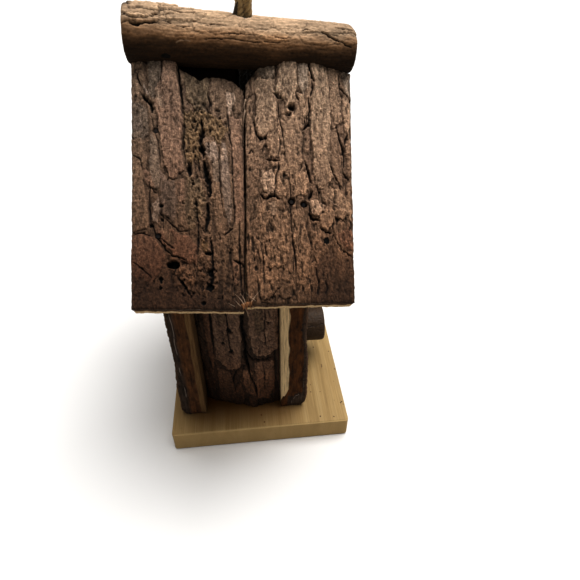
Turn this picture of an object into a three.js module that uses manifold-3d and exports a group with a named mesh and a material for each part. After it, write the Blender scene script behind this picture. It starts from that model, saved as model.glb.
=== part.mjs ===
// A hanging bird feeder: a small house of bark slabs on a pine board, with a
// log along its ridge, a log stub for a perch and a loop of jute twine.
// Millimetres. +Z is up, +X is the front, the origin is the middle of the
// board's underside.

import * as THREE from 'three';
import { mergeVertices } from 'three/addons/utils/BufferGeometryUtils.js';
import Module from 'manifold-3d';

const wasm = await Module();
wasm.setup();

// ---- driving dimensions -------------------------------------------------

const GAP = 0.3; // between pieces that touch
const HALF_GAP = GAP / 2;

// Pine board under the house and its porch.
const BASE_WIDTH = 110; // along X
const BASE_DEPTH = 124; // along Y
const BASE_HEIGHT = 15;
const BASE_CORNER = 2;
const BASE_BEVEL = 0.8;

// Walls. The house is longer behind the porch, so it sits back on the board.
const HOUSE_HALF_DEPTH = 49; // gable walls reach this far either side of Y = 0
const BACK_OUTER = -48; // bark crown of the back gable wall
const BACK_INNER = -34; // its sawn face
const BACK_EDGE = -46.8; // bark at the slab edges
const FRONT_INNER = 13.3;
const FRONT_OUTER = 29.8;
const FRONT_EDGE = 27.6;
const SIDE_INNER = 33; // sawn face of the side slabs
const SIDE_CROWN = 47.2;
const SIDE_CROWN_X = -3; // the slab is fattest in front of its middle
const SIDE_BACK_EDGE = 38;
const SIDE_FRONT_EDGE = 44;

// Roof. Its frame leans a little forward about Y, and the slopes fall away
// from the apex line where the outer bark surfaces would meet.
const ROOF_APEX = new THREE.Vector3(1.2, 0, 213.5);
const ROOF_LEAN = THREE.MathUtils.degToRad(2.8);
const ROOF_PITCH = THREE.MathUtils.degToRad(46);
const SLAB_SAWN = -13; // sawn face, measured out from the bark plane
const SLAB_EDGE = -1.6; // bark at a slab's edges
const SLAB_CROWN = 0.8; // bark along its middle
const EAVE_CUT = THREE.MathUtils.degToRad(5); // the lower ends face a little outwards
// Plan corners of the two slabs of a slope, [along the ridge, down the slope].
const SLAB_PLANS = {
  back: [[-47.9, -4], [1.6, -4], [-1.0, 116.9], [-48.8, 115.1]],
  front: [[2.2, -4], [51.5, -4], [48.4, 114.9], [-0.1, 114.8]],
};

// Ridge log, tapering and falling towards the front.
const LOG_BACK = new THREE.Vector3(-48.7, 0, 221.1);
const LOG_FRONT = new THREE.Vector3(51.6, 0, 213.9);
const LOG_BACK_RADIUS = 11.7;
const LOG_FRONT_RADIUS = 10.1;
const LOG_BELLY = 0.1; // extra radius at mid-length
const LOG_SIDES = 28;

// Twine, its hole and its knot.
const ROPE_X = 2.4;
const ROPE_RADIUS = 1.8;
const ROPE_HOLE_RADIUS = 4.4;
const KNOT_CENTRE = 183.6;
const KNOT_RADIUS = 6.6;
const KNOT_NECK_RADIUS = 3.7;
const KNOT_TOP = 204;
const ROPE_ROUTE = [ // [x, z] from the knot up, round and back down, at Y = 0
  [0.45, 204.3], [0.45, 212], [0.45, 220], [0.45, 228], [0.4, 235],
  [-0.2, 243], [-2.1, 251], [-4.4, 259], [-6.2, 267], [-6.6, 274.5],
  [-5.2, 281.2], [-2.0, 285.6], [2.4, 287.2], [6.8, 285.6], [10.0, 281.2],
  [11.4, 274.5], [11.0, 267], [9.2, 259], [6.9, 251], [5.0, 243],
  [4.4, 235], [4.35, 228], [4.35, 220], [4.35, 212], [4.35, 204.3],
];
const ROPE_STEPS = 34;

// Entrance and perch in the front wall.
const ENTRANCE_Z = 84;
const ENTRANCE_RADIUS = 18;
const PERCH_Z = 42.4;
const PERCH_RADIUS = 12;
const PERCH_END = 46.8;

// Finishing nails: a slim shank and a head hardly wider than it.
const NAIL_SHANK = 0.75;
const NAIL_HEAD = 0.95;
const NAIL_HEAD_HEIGHT = 1.2;
const NAIL_SIDES = 8;
const NAIL_SUNK = 1.2; // heads are punched this far below the surface
const BORE_MOUTH = 4; // how far a bore is cut outwards from its nail's head

const ARC_STEPS = 8;
const FAR = 800; // longer than anything in the house
const OVER_ROOF = 240; // walls are cut down to the roof from here

// ---- materials -----------------------------------------------------------

function material(color, roughness, metalness = 0) {
  return new THREE.MeshStandardMaterial({ color, roughness, metalness });
}

const PINE = material(0xc9a468, 0.7);
const WALL_BARK = material(0x54453f, 0.95);
const ROOF_BARK = material(0x6b5040, 0.95);
const LOG_BARK = material(0x8a6a4c, 0.9);
const PERCH_BARK = material(0x584d47, 0.75);
const STEEL = material(0x7d7f82, 0.4, 1);
const JUTE = material(0x8d7452, 0.95);

// ---- solids --------------------------------------------------------------

function toSolid(geometry) {
  const bare = geometry.index ? geometry.toNonIndexed() : geometry.clone();
  bare.deleteAttribute('normal');
  bare.deleteAttribute('uv');
  const merged = mergeVertices(bare, 1e-4);
  return new wasm.Manifold(new wasm.Mesh({
    numProp: 3,
    vertProperties: new Float32Array(merged.attributes.position.array),
    triVerts: new Uint32Array(merged.index.array),
  }));
}

function toGeometry(solid) {
  const mesh = solid.getMesh();
  const geometry = new THREE.BufferGeometry();
  geometry.setAttribute('position', new THREE.BufferAttribute(mesh.vertProperties, 3));
  geometry.setIndex(new THREE.BufferAttribute(mesh.triVerts, 1));
  geometry.computeVertexNormals();
  return geometry;
}

function named(name, geometry, surface) {
  const mesh = new THREE.Mesh(geometry, surface);
  mesh.name = name;
  return mesh;
}

function prism(shape, from, to) {
  const options = { depth: to - from, bevelEnabled: false, curveSegments: ARC_STEPS };
  return new THREE.ExtrudeGeometry(shape, options).translate(0, 0, from);
}

// A turned solid between two points; stations are [distance along, radius].
function turned(stations, start, end, sides) {
  const profile = stations.map(([along, radius]) => new THREE.Vector2(radius, along));
  const axis = end.clone().sub(start).normalize();
  const turn = new THREE.Quaternion().setFromUnitVectors(new THREE.Vector3(0, 1, 0), axis);
  return new THREE.LatheGeometry(profile, sides).applyQuaternion(turn).translate(...start);
}

function rod(start, end, radius, sides) {
  const length = start.distanceTo(end);
  return turned([[0, 0], [0, radius], [length, radius], [length, 0]], start, end, sides);
}

// A half space as a large box: everything on the outer side of a plane.
function beyond(point, outward) {
  const turn = new THREE.Quaternion().setFromUnitVectors(new THREE.Vector3(0, 0, 1), outward);
  return toSolid(new THREE.BoxGeometry(FAR, FAR, FAR)
    .translate(0, 0, FAR / 2)
    .applyQuaternion(turn)
    .translate(...point));
}

// Section of a split slab: a straight sawn face and a bowed bark side. The
// five points are sawn corner, bark edge, bark crown, bark edge, sawn corner.
function slabSection([sawnA, edgeA, crown, edgeB, sawnB]) {
  const shape = new THREE.Shape();
  shape.moveTo(...sawnA);
  shape.lineTo(...edgeA);
  shape.splineThru([crown, edgeB].map(([x, y]) => new THREE.Vector2(x, y)));
  shape.lineTo(...sawnB);
  shape.closePath();
  return shape;
}

// ---- roof frame -----------------------------------------------------------

// Axes of a slope: along the ridge, out of the bark, and down (near slope,
// side = -1) or up (far slope, side = 1) the slope.
function slopeMatrix(side) {
  const ridge = new THREE.Vector3(1, 0, 0);
  const outward = new THREE.Vector3(0, side * Math.sin(ROOF_PITCH), Math.cos(ROOF_PITCH));
  const third = ridge.clone().cross(outward);
  const local = new THREE.Matrix4().makeBasis(ridge, outward, third);
  const lean = new THREE.Matrix4().makeRotationY(ROOF_LEAN);
  const place = new THREE.Matrix4().makeTranslation(ROOF_APEX);
  return place.multiply(lean).multiply(local);
}

function slopeDirection(side, along, outward, down) {
  const local = new THREE.Vector3(along, outward, -side * down);
  return local.transformDirection(slopeMatrix(side));
}

function slopePoint(side, along, outward, down) {
  const fromApex = new THREE.Vector3(along - ROOF_APEX.x, outward, -side * down);
  return fromApex.applyMatrix4(slopeMatrix(side));
}

// ---- nails ----------------------------------------------------------------

const nails = [];

// head is the middle of the head's top, heading points along the shank.
function addNail(name, head, heading, length) {
  nails.push({ name, head, heading: heading.clone().normalize(), length });
}

function nailStations(length, slack) {
  const shank = NAIL_SHANK + slack;
  const headRadius = NAIL_HEAD + slack;
  return [[0, 0], [0, headRadius], [NAIL_HEAD_HEIGHT, headRadius], [NAIL_HEAD_HEIGHT + 0.4, shank],
    [length - 2 + slack, shank], [length + slack, 0]];
}

function nailGeometry({ head, heading, length }) {
  const tip = head.clone().addScaledVector(heading, length);
  return turned(nailStations(length, 0), head, tip, NAIL_SIDES);
}

function nailBore({ head, heading, length }) {
  const mouth = head.clone().addScaledVector(heading, -BORE_MOUTH);
  const tip = head.clone().addScaledVector(heading, length);
  const [, , ...rest] = nailStations(length, GAP);
  const stations = [[0, 0], [0, NAIL_HEAD + GAP], ...rest.map(([along, radius]) => [along + BORE_MOUTH, radius])];
  return toSolid(turned(stations, mouth, tip, NAIL_SIDES));
}

const DOWN = new THREE.Vector3(0, 0, -1);
const UP = new THREE.Vector3(0, 0, 1);
const FORWARD = new THREE.Vector3(1, 0, 0);
const BACKWARD = new THREE.Vector3(-1, 0, 0);

// Roof nails go square through a slab into the gable wall under it.
const ROOF_NAIL_LENGTH = 30;
const ROOF_NAILS = [ // [side, along the ridge, down the slope]
  [-1, 22.1, 26.4], [-1, 21.1, 69.0], [-1, 26.5, 70.4], [-1, -37.7, 37.2], [-1, -37.2, 84],
  [1, 20.5, 30], [1, 21.5, 76], [1, -38.5, 33], [1, -37.5, 80],
];
ROOF_NAILS.forEach(([side, along, down], index) => {
  const head = slopePoint(side, along, -NAIL_SUNK, down);
  addNail(`roof_nail_${index + 1}`, head, slopeDirection(side, 0, -1, 0), ROOF_NAIL_LENGTH);
});

// Board nails come up from below, one into each wall slab.
const BOARD_NAIL_LENGTH = 38;
const BOARD_NAILS = [[20, -24.5], [20, 24.5], [-40.5, -24.5], [-40.5, 24.5], [-8, -38.5], [-8, 38.5]];
BOARD_NAILS.forEach(([x, y], index) => {
  addNail(`board_nail_${index + 1}`, new THREE.Vector3(x, y, NAIL_SUNK), UP, BOARD_NAIL_LENGTH);
});

// Corner nails go through a gable slab into the end of a side slab.
const CORNER_NAIL_LENGTH = 32;
const CORNER_NAIL_Z = 82;
const CORNER_NAIL_FRONT_Y = 38.5;
const CORNER_NAIL_BACK_Y = 35.8;
for (const [label, side] of [['near', -1], ['far', 1]]) {
  const front = new THREE.Vector3(FRONT_OUTER - 3, side * CORNER_NAIL_FRONT_Y, CORNER_NAIL_Z);
  const back = new THREE.Vector3(BACK_OUTER + 2.5, side * CORNER_NAIL_BACK_Y, CORNER_NAIL_Z);
  addNail(`corner_nail_front_${label}`, front, BACKWARD, CORNER_NAIL_LENGTH);
  addNail(`corner_nail_back_${label}`, back, FORWARD, CORNER_NAIL_LENGTH);
}

// Ridge nails are driven from the far side of the log's top, a little slanted,
// through the log and a near roof slab into the gable wall.
const RIDGE_NAIL_LENGTH = 48;
const RIDGE_NAIL_SLANT = THREE.MathUtils.degToRad(15);
for (const [label, x] of [['back', -42], ['front', 25.5]]) {
  const share = (x - LOG_BACK.x) / (LOG_FRONT.x - LOG_BACK.x);
  const axis = LOG_BACK.clone().lerp(LOG_FRONT, share);
  const heading = new THREE.Vector3(0, -Math.sin(RIDGE_NAIL_SLANT), -Math.cos(RIDGE_NAIL_SLANT));
  const radius = THREE.MathUtils.lerp(LOG_BACK_RADIUS, LOG_FRONT_RADIUS, share);
  const head = axis.addScaledVector(heading, NAIL_SUNK - radius);
  addNail(`ridge_nail_${label}`, head, heading, RIDGE_NAIL_LENGTH);
}

// Perch nails are driven from inside the house.
const PERCH_NAIL_LENGTH = 26;
const PERCH_NAIL_Y = 6;
for (const [label, side] of [['near', -1], ['far', 1]]) {
  const head = new THREE.Vector3(FRONT_INNER + 0.5, side * PERCH_NAIL_Y, PERCH_Z);
  addNail(`perch_nail_${label}`, head, FORWARD, PERCH_NAIL_LENGTH);
}

const bores = nails.map(nailBore).reduce((all, bore) => all.add(bore));

// ---- pieces ---------------------------------------------------------------

function baseBoard() {
  const x = BASE_WIDTH / 2 - BASE_BEVEL;
  const y = BASE_DEPTH / 2 - BASE_BEVEL;
  const corner = BASE_CORNER - BASE_BEVEL;
  const shape = new THREE.Shape();
  shape.moveTo(x - corner, -y);
  shape.absarc(x - corner, corner - y, corner, -Math.PI / 2, 0);
  shape.absarc(x - corner, y - corner, corner, 0, Math.PI / 2);
  shape.absarc(corner - x, y - corner, corner, Math.PI / 2, Math.PI);
  shape.absarc(corner - x, corner - y, corner, Math.PI, Math.PI * 1.5);
  shape.closePath();
  const board = new THREE.ExtrudeGeometry(shape, {
    depth: BASE_HEIGHT - 2 * BASE_BEVEL,
    bevelSize: BASE_BEVEL,
    bevelThickness: BASE_BEVEL,
    bevelSegments: 1,
    curveSegments: 3,
  });
  return toSolid(board.translate(0, 0, BASE_BEVEL)).subtract(bores);
}

// Everything between the undersides of the two roof slopes, less a gap.
function underRoof() {
  const under = [-1, 1].map((side) => {
    const point = slopePoint(side, 0, SLAB_SAWN - GAP, 0);
    return beyond(point, slopeDirection(side, 0, 1, 0));
  });
  return under[0].add(under[1]);
}

const aboveWalls = underRoof();

function gableSection(side, inner, edge, crown) {
  const seam = side * HALF_GAP;
  const corner = side * HOUSE_HALF_DEPTH;
  const middle = (seam + corner) / 2;
  return slabSection([[inner, seam], [edge, seam], [crown, middle], [edge, corner], [inner, corner]]);
}

function gableSlab(side, inner, edge, crown) {
  const slab = toSolid(prism(gableSection(side, inner, edge, crown), BASE_HEIGHT, OVER_ROOF));
  return slab.subtract(aboveWalls).subtract(bores);
}

function frontSlab(side) {
  const hole = rod(new THREE.Vector3(0, 0, ENTRANCE_Z), new THREE.Vector3(50, 0, ENTRANCE_Z),
    ENTRANCE_RADIUS, 32);
  return gableSlab(side, FRONT_INNER, FRONT_EDGE, FRONT_OUTER).subtract(toSolid(hole));
}

function sideSlab(side) {
  const back = BACK_INNER + HALF_GAP;
  const front = FRONT_INNER - HALF_GAP;
  const section = slabSection([[back, side * SIDE_INNER], [back, side * SIDE_BACK_EDGE],
    [SIDE_CROWN_X, side * SIDE_CROWN], [front, side * SIDE_FRONT_EDGE], [front, side * SIDE_INNER]]);
  return toSolid(prism(section, BASE_HEIGHT, OVER_ROOF)).subtract(aboveWalls).subtract(bores);
}

function logStations(slack) {
  const length = LOG_BACK.distanceTo(LOG_FRONT);
  const middle = (LOG_BACK_RADIUS + LOG_FRONT_RADIUS) / 2 + LOG_BELLY;
  return [[0, 0], [0, LOG_BACK_RADIUS + slack], [length / 2, middle + slack],
    [length, LOG_FRONT_RADIUS + slack], [length, 0]];
}

const ropeHole = toSolid(rod(new THREE.Vector3(ROPE_X, 0, KNOT_CENTRE), new THREE.Vector3(ROPE_X, 0, FAR),
  ROPE_HOLE_RADIUS, 16));
const logSeat = toSolid(turned(logStations(GAP), LOG_BACK, LOG_FRONT, LOG_SIDES));

function ridgeLog() {
  const log = toSolid(turned(logStations(0), LOG_BACK, LOG_FRONT, LOG_SIDES));
  return log.subtract(ropeHole).subtract(bores);
}

// A roof slab is its section run down the slope, kept inside its plan outline,
// mitred at the ridge, hollowed for the log and cut square at the eave.
function roofSlab(side, plan) {
  const [topBack, topFront, lowFront, lowBack] = plan;
  const back = Math.min(topBack[0], lowBack[0]) - ROOF_APEX.x;
  const front = Math.max(topFront[0], lowFront[0]) - ROOF_APEX.x;
  const section = slabSection([[back, SLAB_SAWN], [back, SLAB_EDGE], [(back + front) / 2, SLAB_CROWN],
    [front, SLAB_EDGE], [front, SLAB_SAWN]]);
  const reach = [-FAR / 2, FAR / 2];
  const strip = toSolid(prism(section, ...reach).applyMatrix4(slopeMatrix(side)));

  // The plan outline lies in the (ridge, slope) plane; its prism runs outwards.
  const outline = new THREE.Shape(plan.map(([along, down]) => new THREE.Vector2(along - ROOF_APEX.x, side * down)));
  const column = prism(outline, -40, 20).rotateX(-Math.PI / 2).applyMatrix4(slopeMatrix(side));

  const eaveNormal = slopeDirection(side, 0, Math.sin(EAVE_CUT), Math.cos(EAVE_CUT));
  const eave = slopePoint(side, 0, 0, Math.max(lowBack[1], lowFront[1]));
  const mitre = new THREE.Vector3(0, side * HALF_GAP, 0);
  return strip
    .intersect(toSolid(column))
    .subtract(beyond(eave, eaveNormal))
    .subtract(beyond(mitre, new THREE.Vector3(0, -side, 0)))
    .subtract(logSeat)
    .subtract(ropeHole)
    .subtract(bores);
}

function perchLog() {
  const start = new THREE.Vector3(FRONT_INNER, 0, PERCH_Z);
  const end = new THREE.Vector3(PERCH_END, 0, PERCH_Z);
  let perch = toSolid(rod(start, end, PERCH_RADIUS, 28));
  for (const side of [-1, 1]) {
    const section = gableSection(side, FRONT_INNER - GAP, FRONT_EDGE + GAP, FRONT_OUTER + GAP);
    perch = perch.subtract(toSolid(prism(section, 0, FAR)));
  }
  const seam = new THREE.BoxGeometry(FRONT_EDGE + GAP, 1, FAR).translate((FRONT_EDGE + GAP) / 2, 0, 0);
  return perch.subtract(toSolid(seam)).subtract(bores);
}

function ropeLoop() {
  const route = new THREE.CatmullRomCurve3(ROPE_ROUTE.map(([x, z]) => new THREE.Vector3(x, 0, z)));
  const section = new THREE.Shape();
  section.absarc(0, 0, ROPE_RADIUS, 0, Math.PI * 2);
  return new THREE.ExtrudeGeometry(section, { steps: ROPE_STEPS, extrudePath: route, curveSegments: 4 });
}

// The knot is a round lump with the doubled twine above it as a neck.
function ropeKnot() {
  const profile = [new THREE.Vector2(0, -KNOT_RADIUS)];
  const steps = 8;
  const top = Math.acos(-KNOT_NECK_RADIUS / KNOT_RADIUS) - Math.PI / 2;
  for (let step = 1; step <= steps; step += 1) {
    const angle = -Math.PI / 2 + (step / steps) * (Math.PI - top);
    profile.push(new THREE.Vector2(KNOT_RADIUS * Math.cos(angle), KNOT_RADIUS * Math.sin(angle)));
  }
  profile.push(new THREE.Vector2(KNOT_NECK_RADIUS, KNOT_TOP - KNOT_CENTRE));
  profile.push(new THREE.Vector2(0, KNOT_TOP - KNOT_CENTRE));
  return new THREE.LatheGeometry(profile, 16).rotateX(Math.PI / 2);
}

// ---- assembly --------------------------------------------------------------

const feeder = new THREE.Group();

feeder.add(named('base_board', toGeometry(baseBoard()), PINE));
for (const [label, side] of [['near', -1], ['far', 1]]) {
  const back = gableSlab(side, BACK_INNER, BACK_EDGE, BACK_OUTER);
  feeder.add(named(`back_slab_${label}`, toGeometry(back), WALL_BARK));
  feeder.add(named(`front_slab_${label}`, toGeometry(frontSlab(side)), WALL_BARK));
  feeder.add(named(`side_slab_${label}`, toGeometry(sideSlab(side)), WALL_BARK));
  for (const [end, plan] of Object.entries(SLAB_PLANS)) {
    feeder.add(named(`roof_slab_${label}_${end}`, toGeometry(roofSlab(side, plan)), ROOF_BARK));
  }
}
feeder.add(named('ridge_log', toGeometry(ridgeLog()), LOG_BARK));
feeder.add(named('perch_log', toGeometry(perchLog()), PERCH_BARK));

const knot = named('rope_knot', ropeKnot(), JUTE);
knot.position.set(ROPE_X, 0, KNOT_CENTRE);
feeder.add(knot);
feeder.add(named('rope_loop', ropeLoop(), JUTE));

for (const nail of nails) {
  feeder.add(named(nail.name, nailGeometry(nail), STEEL));
}

export default feeder;
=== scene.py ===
import math

import bmesh
import bpy
import numpy as np
from mathutils import Matrix, Vector

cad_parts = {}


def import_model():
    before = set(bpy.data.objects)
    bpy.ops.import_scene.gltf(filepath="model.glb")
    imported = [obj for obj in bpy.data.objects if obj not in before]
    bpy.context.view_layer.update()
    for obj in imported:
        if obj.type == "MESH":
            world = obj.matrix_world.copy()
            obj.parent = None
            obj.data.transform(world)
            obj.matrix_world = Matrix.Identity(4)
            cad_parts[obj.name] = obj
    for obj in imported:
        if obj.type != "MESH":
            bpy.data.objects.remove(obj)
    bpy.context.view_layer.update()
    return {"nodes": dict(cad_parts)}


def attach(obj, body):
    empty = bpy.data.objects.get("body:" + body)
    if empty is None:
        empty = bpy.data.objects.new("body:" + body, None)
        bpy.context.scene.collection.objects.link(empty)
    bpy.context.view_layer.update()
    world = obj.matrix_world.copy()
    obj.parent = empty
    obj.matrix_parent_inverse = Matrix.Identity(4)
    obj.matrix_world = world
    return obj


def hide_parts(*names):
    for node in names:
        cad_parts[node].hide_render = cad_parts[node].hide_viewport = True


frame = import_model()

MM = 0.001
nodes = frame["nodes"]

# ---------------------------------------------------------------------------
# Camera, first of all.
# ---------------------------------------------------------------------------

LENS = 28.55
SENSOR = 36.0
CAMERA_AT = np.array([-3.5, -230.8, 261.1])
CAMERA_YAW = math.radians(6.80)
CAMERA_PITCH = math.radians(38.99)
CAMERA_ROLL = math.radians(-0.70)


def make_camera():
    yaw, pitch, roll = CAMERA_YAW, CAMERA_PITCH, CAMERA_ROLL
    ahead = Vector((math.sin(yaw) * math.cos(pitch), math.cos(yaw) * math.cos(pitch), -math.sin(pitch)))
    right = Vector((math.cos(yaw), -math.sin(yaw), 0))
    down = ahead.cross(right)
    image_right = math.cos(roll) * right + math.sin(roll) * down
    image_down = math.cos(roll) * down - math.sin(roll) * right
    turn = Matrix((image_right, -image_down, -ahead)).transposed()
    data = bpy.data.cameras.new("camera")
    data.lens = LENS
    data.sensor_width = SENSOR
    data.clip_start = 0.01
    camera = bpy.data.objects.new("camera", data)
    camera.matrix_world = Matrix.Translation(Vector(CAMERA_AT * MM)) @ turn.to_4x4()
    bpy.context.scene.collection.objects.link(camera)
    bpy.context.scene.camera = camera


make_camera()

# ---------------------------------------------------------------------------
# Noise and fields. Arrays in, arrays out, all seeded.
# ---------------------------------------------------------------------------


def lattice(ix, iy, seed):
    """A repeatable number in [0, 1) for each whole-number pair."""
    n = (ix.astype(np.int64) * 374761393 + iy.astype(np.int64) * 668265263 + seed * 974634777) & 0xFFFFFFFF
    n = ((n ^ (n >> 13)) * 1274126177) & 0xFFFFFFFF
    return (n ^ (n >> 16)) / 4294967296.0


def noise(x, y, seed):
    """Smooth value noise in [-1, 1]."""
    ix, iy = np.floor(x), np.floor(y)
    fx, fy = x - ix, y - iy
    fx, fy = fx * fx * (3 - 2 * fx), fy * fy * (3 - 2 * fy)
    low = lattice(ix, iy, seed) * (1 - fx) + lattice(ix + 1, iy, seed) * fx
    high = lattice(ix, iy + 1, seed) * (1 - fx) + lattice(ix + 1, iy + 1, seed) * fx
    return 2 * (low * (1 - fy) + high * fy) - 1


def fbm(x, y, seed, octaves=4):
    total, size, reach = 0, 1.0, 0.0
    for octave in range(octaves):
        total = total + size * noise(x * 2 ** octave, y * 2 ** octave, seed + 31 * octave)
        reach += size
        size *= 0.55
    return total / reach * 1.6


def cells(x, y, seed):
    """How far each point is from the border of its cell, and its cell's own number in [-1, 1]."""
    ix, iy = np.floor(x), np.floor(y)
    first = np.full(x.shape, 9.0)
    second = np.full(x.shape, 9.0)
    own = np.zeros(x.shape)
    for dx in (-1, 0, 1):
        for dy in (-1, 0, 1):
            cx, cy = ix + dx, iy + dy
            px = cx + 0.15 + 0.7 * lattice(cx, cy, seed)
            py = cy + 0.15 + 0.7 * lattice(cx, cy, seed + 1)
            gap = np.hypot(x - px, y - py)
            nearer = gap < first
            second = np.where(nearer, first, np.minimum(second, gap))
            own = np.where(nearer, 2 * lattice(cx, cy, seed + 2) - 1, own)
            first = np.where(nearer, gap, first)
    return second - first, own


def smooth(x, low, high):
    t = np.clip((x - low) / (high - low), 0, 1)
    return t * t * (3 - 2 * t)


def blend(a, b, t):
    return a * (1 - t) + b * t


def blurred(field, reach):
    """Gaussian blur over a grid, with the border repeated."""
    taps = np.arange(-2 * reach, 2 * reach + 1)
    weights = np.exp(-0.5 * (taps / reach) ** 2)
    weights /= weights.sum()
    for axis in (0, 1):
        pad = [(0, 0), (0, 0)]
        pad[axis] = (2 * reach, 2 * reach)
        wide = np.pad(field, pad, mode="edge")
        size = field.shape[axis]
        field = sum(w * np.take(wide, range(i, i + size), axis) for i, w in enumerate(weights))
    return field


def outline_distance(points, x, y):
    """Signed distance to a closed outline, positive inside."""
    best = np.full(x.shape, 1e9)
    inside = np.zeros(x.shape, bool)
    for (ax, ay), (bx, by) in zip(points, points[1:] + points[:1]):
        ex, ey = bx - ax, by - ay
        t = np.clip(((x - ax) * ex + (y - ay) * ey) / (ex * ex + ey * ey), 0, 1)
        best = np.minimum(best, np.hypot(x - ax - t * ex, y - ay - t * ey))
        if ay != by:
            crosses = ((ay > y) != (by > y)) & (x < ax + (y - ay) * ex / ey)
            inside ^= crosses
    return np.where(inside, best, -best)


def line_distance(points, x, y):
    """Distance to an open line, and how far along it, from 0 to 1."""
    best = np.full(x.shape, 1e9)
    along = np.zeros(x.shape)
    count = len(points) - 1
    for i, ((ax, ay), (bx, by)) in enumerate(zip(points, points[1:])):
        ex, ey = bx - ax, by - ay
        t = np.clip(((x - ax) * ex + (y - ay) * ey) / (ex * ex + ey * ey), 0, 1)
        gap = np.hypot(x - ax - t * ex, y - ay - t * ey)
        along = np.where(gap < best, (i + t) / count, along)
        best = np.minimum(best, gap)
    return best, along


# ---------------------------------------------------------------------------
# Meshes.
# ---------------------------------------------------------------------------


def make_mesh(name, vertices, faces, point_data):
    """A mesh object from mm vertices; point_data holds named values or colours per vertex."""
    mesh = bpy.data.meshes.new(name)
    mesh.from_pydata((np.asarray(vertices) * MM).tolist(), [], faces)
    for key, values in point_data.items():
        values = np.asarray(values, dtype=np.float32)
        if values.ndim == 1:
            mesh.attributes.new(key, "FLOAT", "POINT").data.foreach_set("value", values)
        elif key == "grain":
            mesh.attributes.new(key, "FLOAT_VECTOR", "POINT").data.foreach_set("vector", values.ravel())
        else:
            rgba = np.concatenate([values, np.ones((len(values), 1), np.float32)], axis=1)
            mesh.attributes.new(key, "FLOAT_COLOR", "POINT").data.foreach_set("color", rgba.ravel())
    work = bmesh.new()
    work.from_mesh(mesh)
    bmesh.ops.recalc_face_normals(work, faces=work.faces)
    work.to_mesh(mesh)
    work.free()
    mesh.polygons.foreach_set("use_smooth", [True] * len(mesh.polygons))
    thing = bpy.data.objects.new(name, mesh)
    bpy.context.scene.collection.objects.link(thing)
    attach(thing, "root")
    return thing


def grid_faces(rows, columns, wrap=False):
    """Quads of a grid of rows x columns vertices; wrap joins the last column to the first."""
    last = columns if wrap else columns - 1
    faces = []
    for r in range(rows - 1):
        base = r * columns
        for c in range(last):
            d = (c + 1) % columns
            faces.append((base + c, base + d, base + columns + d, base + columns + c))
    return faces


# ---------------------------------------------------------------------------
# Material nodes.
# ---------------------------------------------------------------------------


class Nodes:
    """Short ways to build a material's nodes."""

    def __init__(self, name):
        self.material = bpy.data.materials.new(name)
        self.material.use_nodes = True
        self.tree = self.material.node_tree
        self.shader = self.tree.nodes["Principled BSDF"]

    def new(self, kind, **settings):
        node = self.tree.nodes.new(kind)
        for key, value in settings.items():
            setattr(node, key, value)
        return node

    def link(self, output, target):
        self.tree.links.new(output, target)

    def value(self, target, thing):
        if isinstance(thing, bpy.types.NodeSocket):
            self.link(thing, target)
        else:
            target.default_value = thing

    def attribute(self, name):
        return self.new("ShaderNodeAttribute", attribute_name=name)

    def stretched(self, vector, scale):
        node = self.new("ShaderNodeMapping")
        self.link(vector, node.inputs["Vector"])
        node.inputs["Scale"].default_value = scale
        return node.outputs["Vector"]

    def noise(self, vector, detail=4.0, roughness=0.6):
        node = self.new("ShaderNodeTexNoise")
        self.link(vector, node.inputs["Vector"])
        node.inputs["Scale"].default_value = 1.0
        node.inputs["Detail"].default_value = detail
        node.inputs["Roughness"].default_value = roughness
        return node.outputs["Fac"]

    def math(self, operation, first, second=0.0, clamp=False):
        node = self.new("ShaderNodeMath", operation=operation, use_clamp=clamp)
        self.value(node.inputs[0], first)
        self.value(node.inputs[1], second)
        return node.outputs[0]

    def mix(self, factor, first, second, blend_type="MIX"):
        node = self.new("ShaderNodeMix", data_type="RGBA", blend_type=blend_type)
        self.value(node.inputs["Factor"], factor)
        self.value(node.inputs[6], first)
        self.value(node.inputs[7], second)
        return node.outputs[2]

    def ramp(self, factor, stops):
        node = self.new("ShaderNodeValToRGB")
        while len(node.color_ramp.elements) < len(stops):
            node.color_ramp.elements.new(0.5)
        for element, (position, color) in zip(node.color_ramp.elements, stops):
            element.position = position
            element.color = (*color, 1)
        self.link(factor, node.inputs["Fac"])
        return node.outputs["Color"]

    def tinted(self, color, factor, stops):
        """The colour times a ramp."""
        return self.mix(1.0, color, self.ramp(factor, stops), "MULTIPLY")

    def remap(self, value, low, high, to_low, to_high):
        node = self.new("ShaderNodeMapRange")
        self.value(node.inputs["Value"], value)
        for socket, number in zip(("From Min", "From Max", "To Min", "To Max"), (low, high, to_low, to_high)):
            node.inputs[socket].default_value = number
        return node.outputs["Result"]

    def bump(self, height, distance, strength=1.0):
        node = self.new("ShaderNodeBump")
        self.link(height, node.inputs["Height"])
        node.inputs["Distance"].default_value = distance
        node.inputs["Strength"].default_value = strength
        self.link(node.outputs["Normal"], self.shader.inputs["Normal"])

    def surface(self, color, roughness, specular=0.3):
        self.link(color, self.shader.inputs["Base Color"])
        self.value(self.shader.inputs["Roughness"], roughness)
        self.shader.inputs["Specular IOR Level"].default_value = specular
        return self.material


# ---------------------------------------------------------------------------
# Twine: three plies twisted together, up from the knot, round and back down.
# ---------------------------------------------------------------------------

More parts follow.
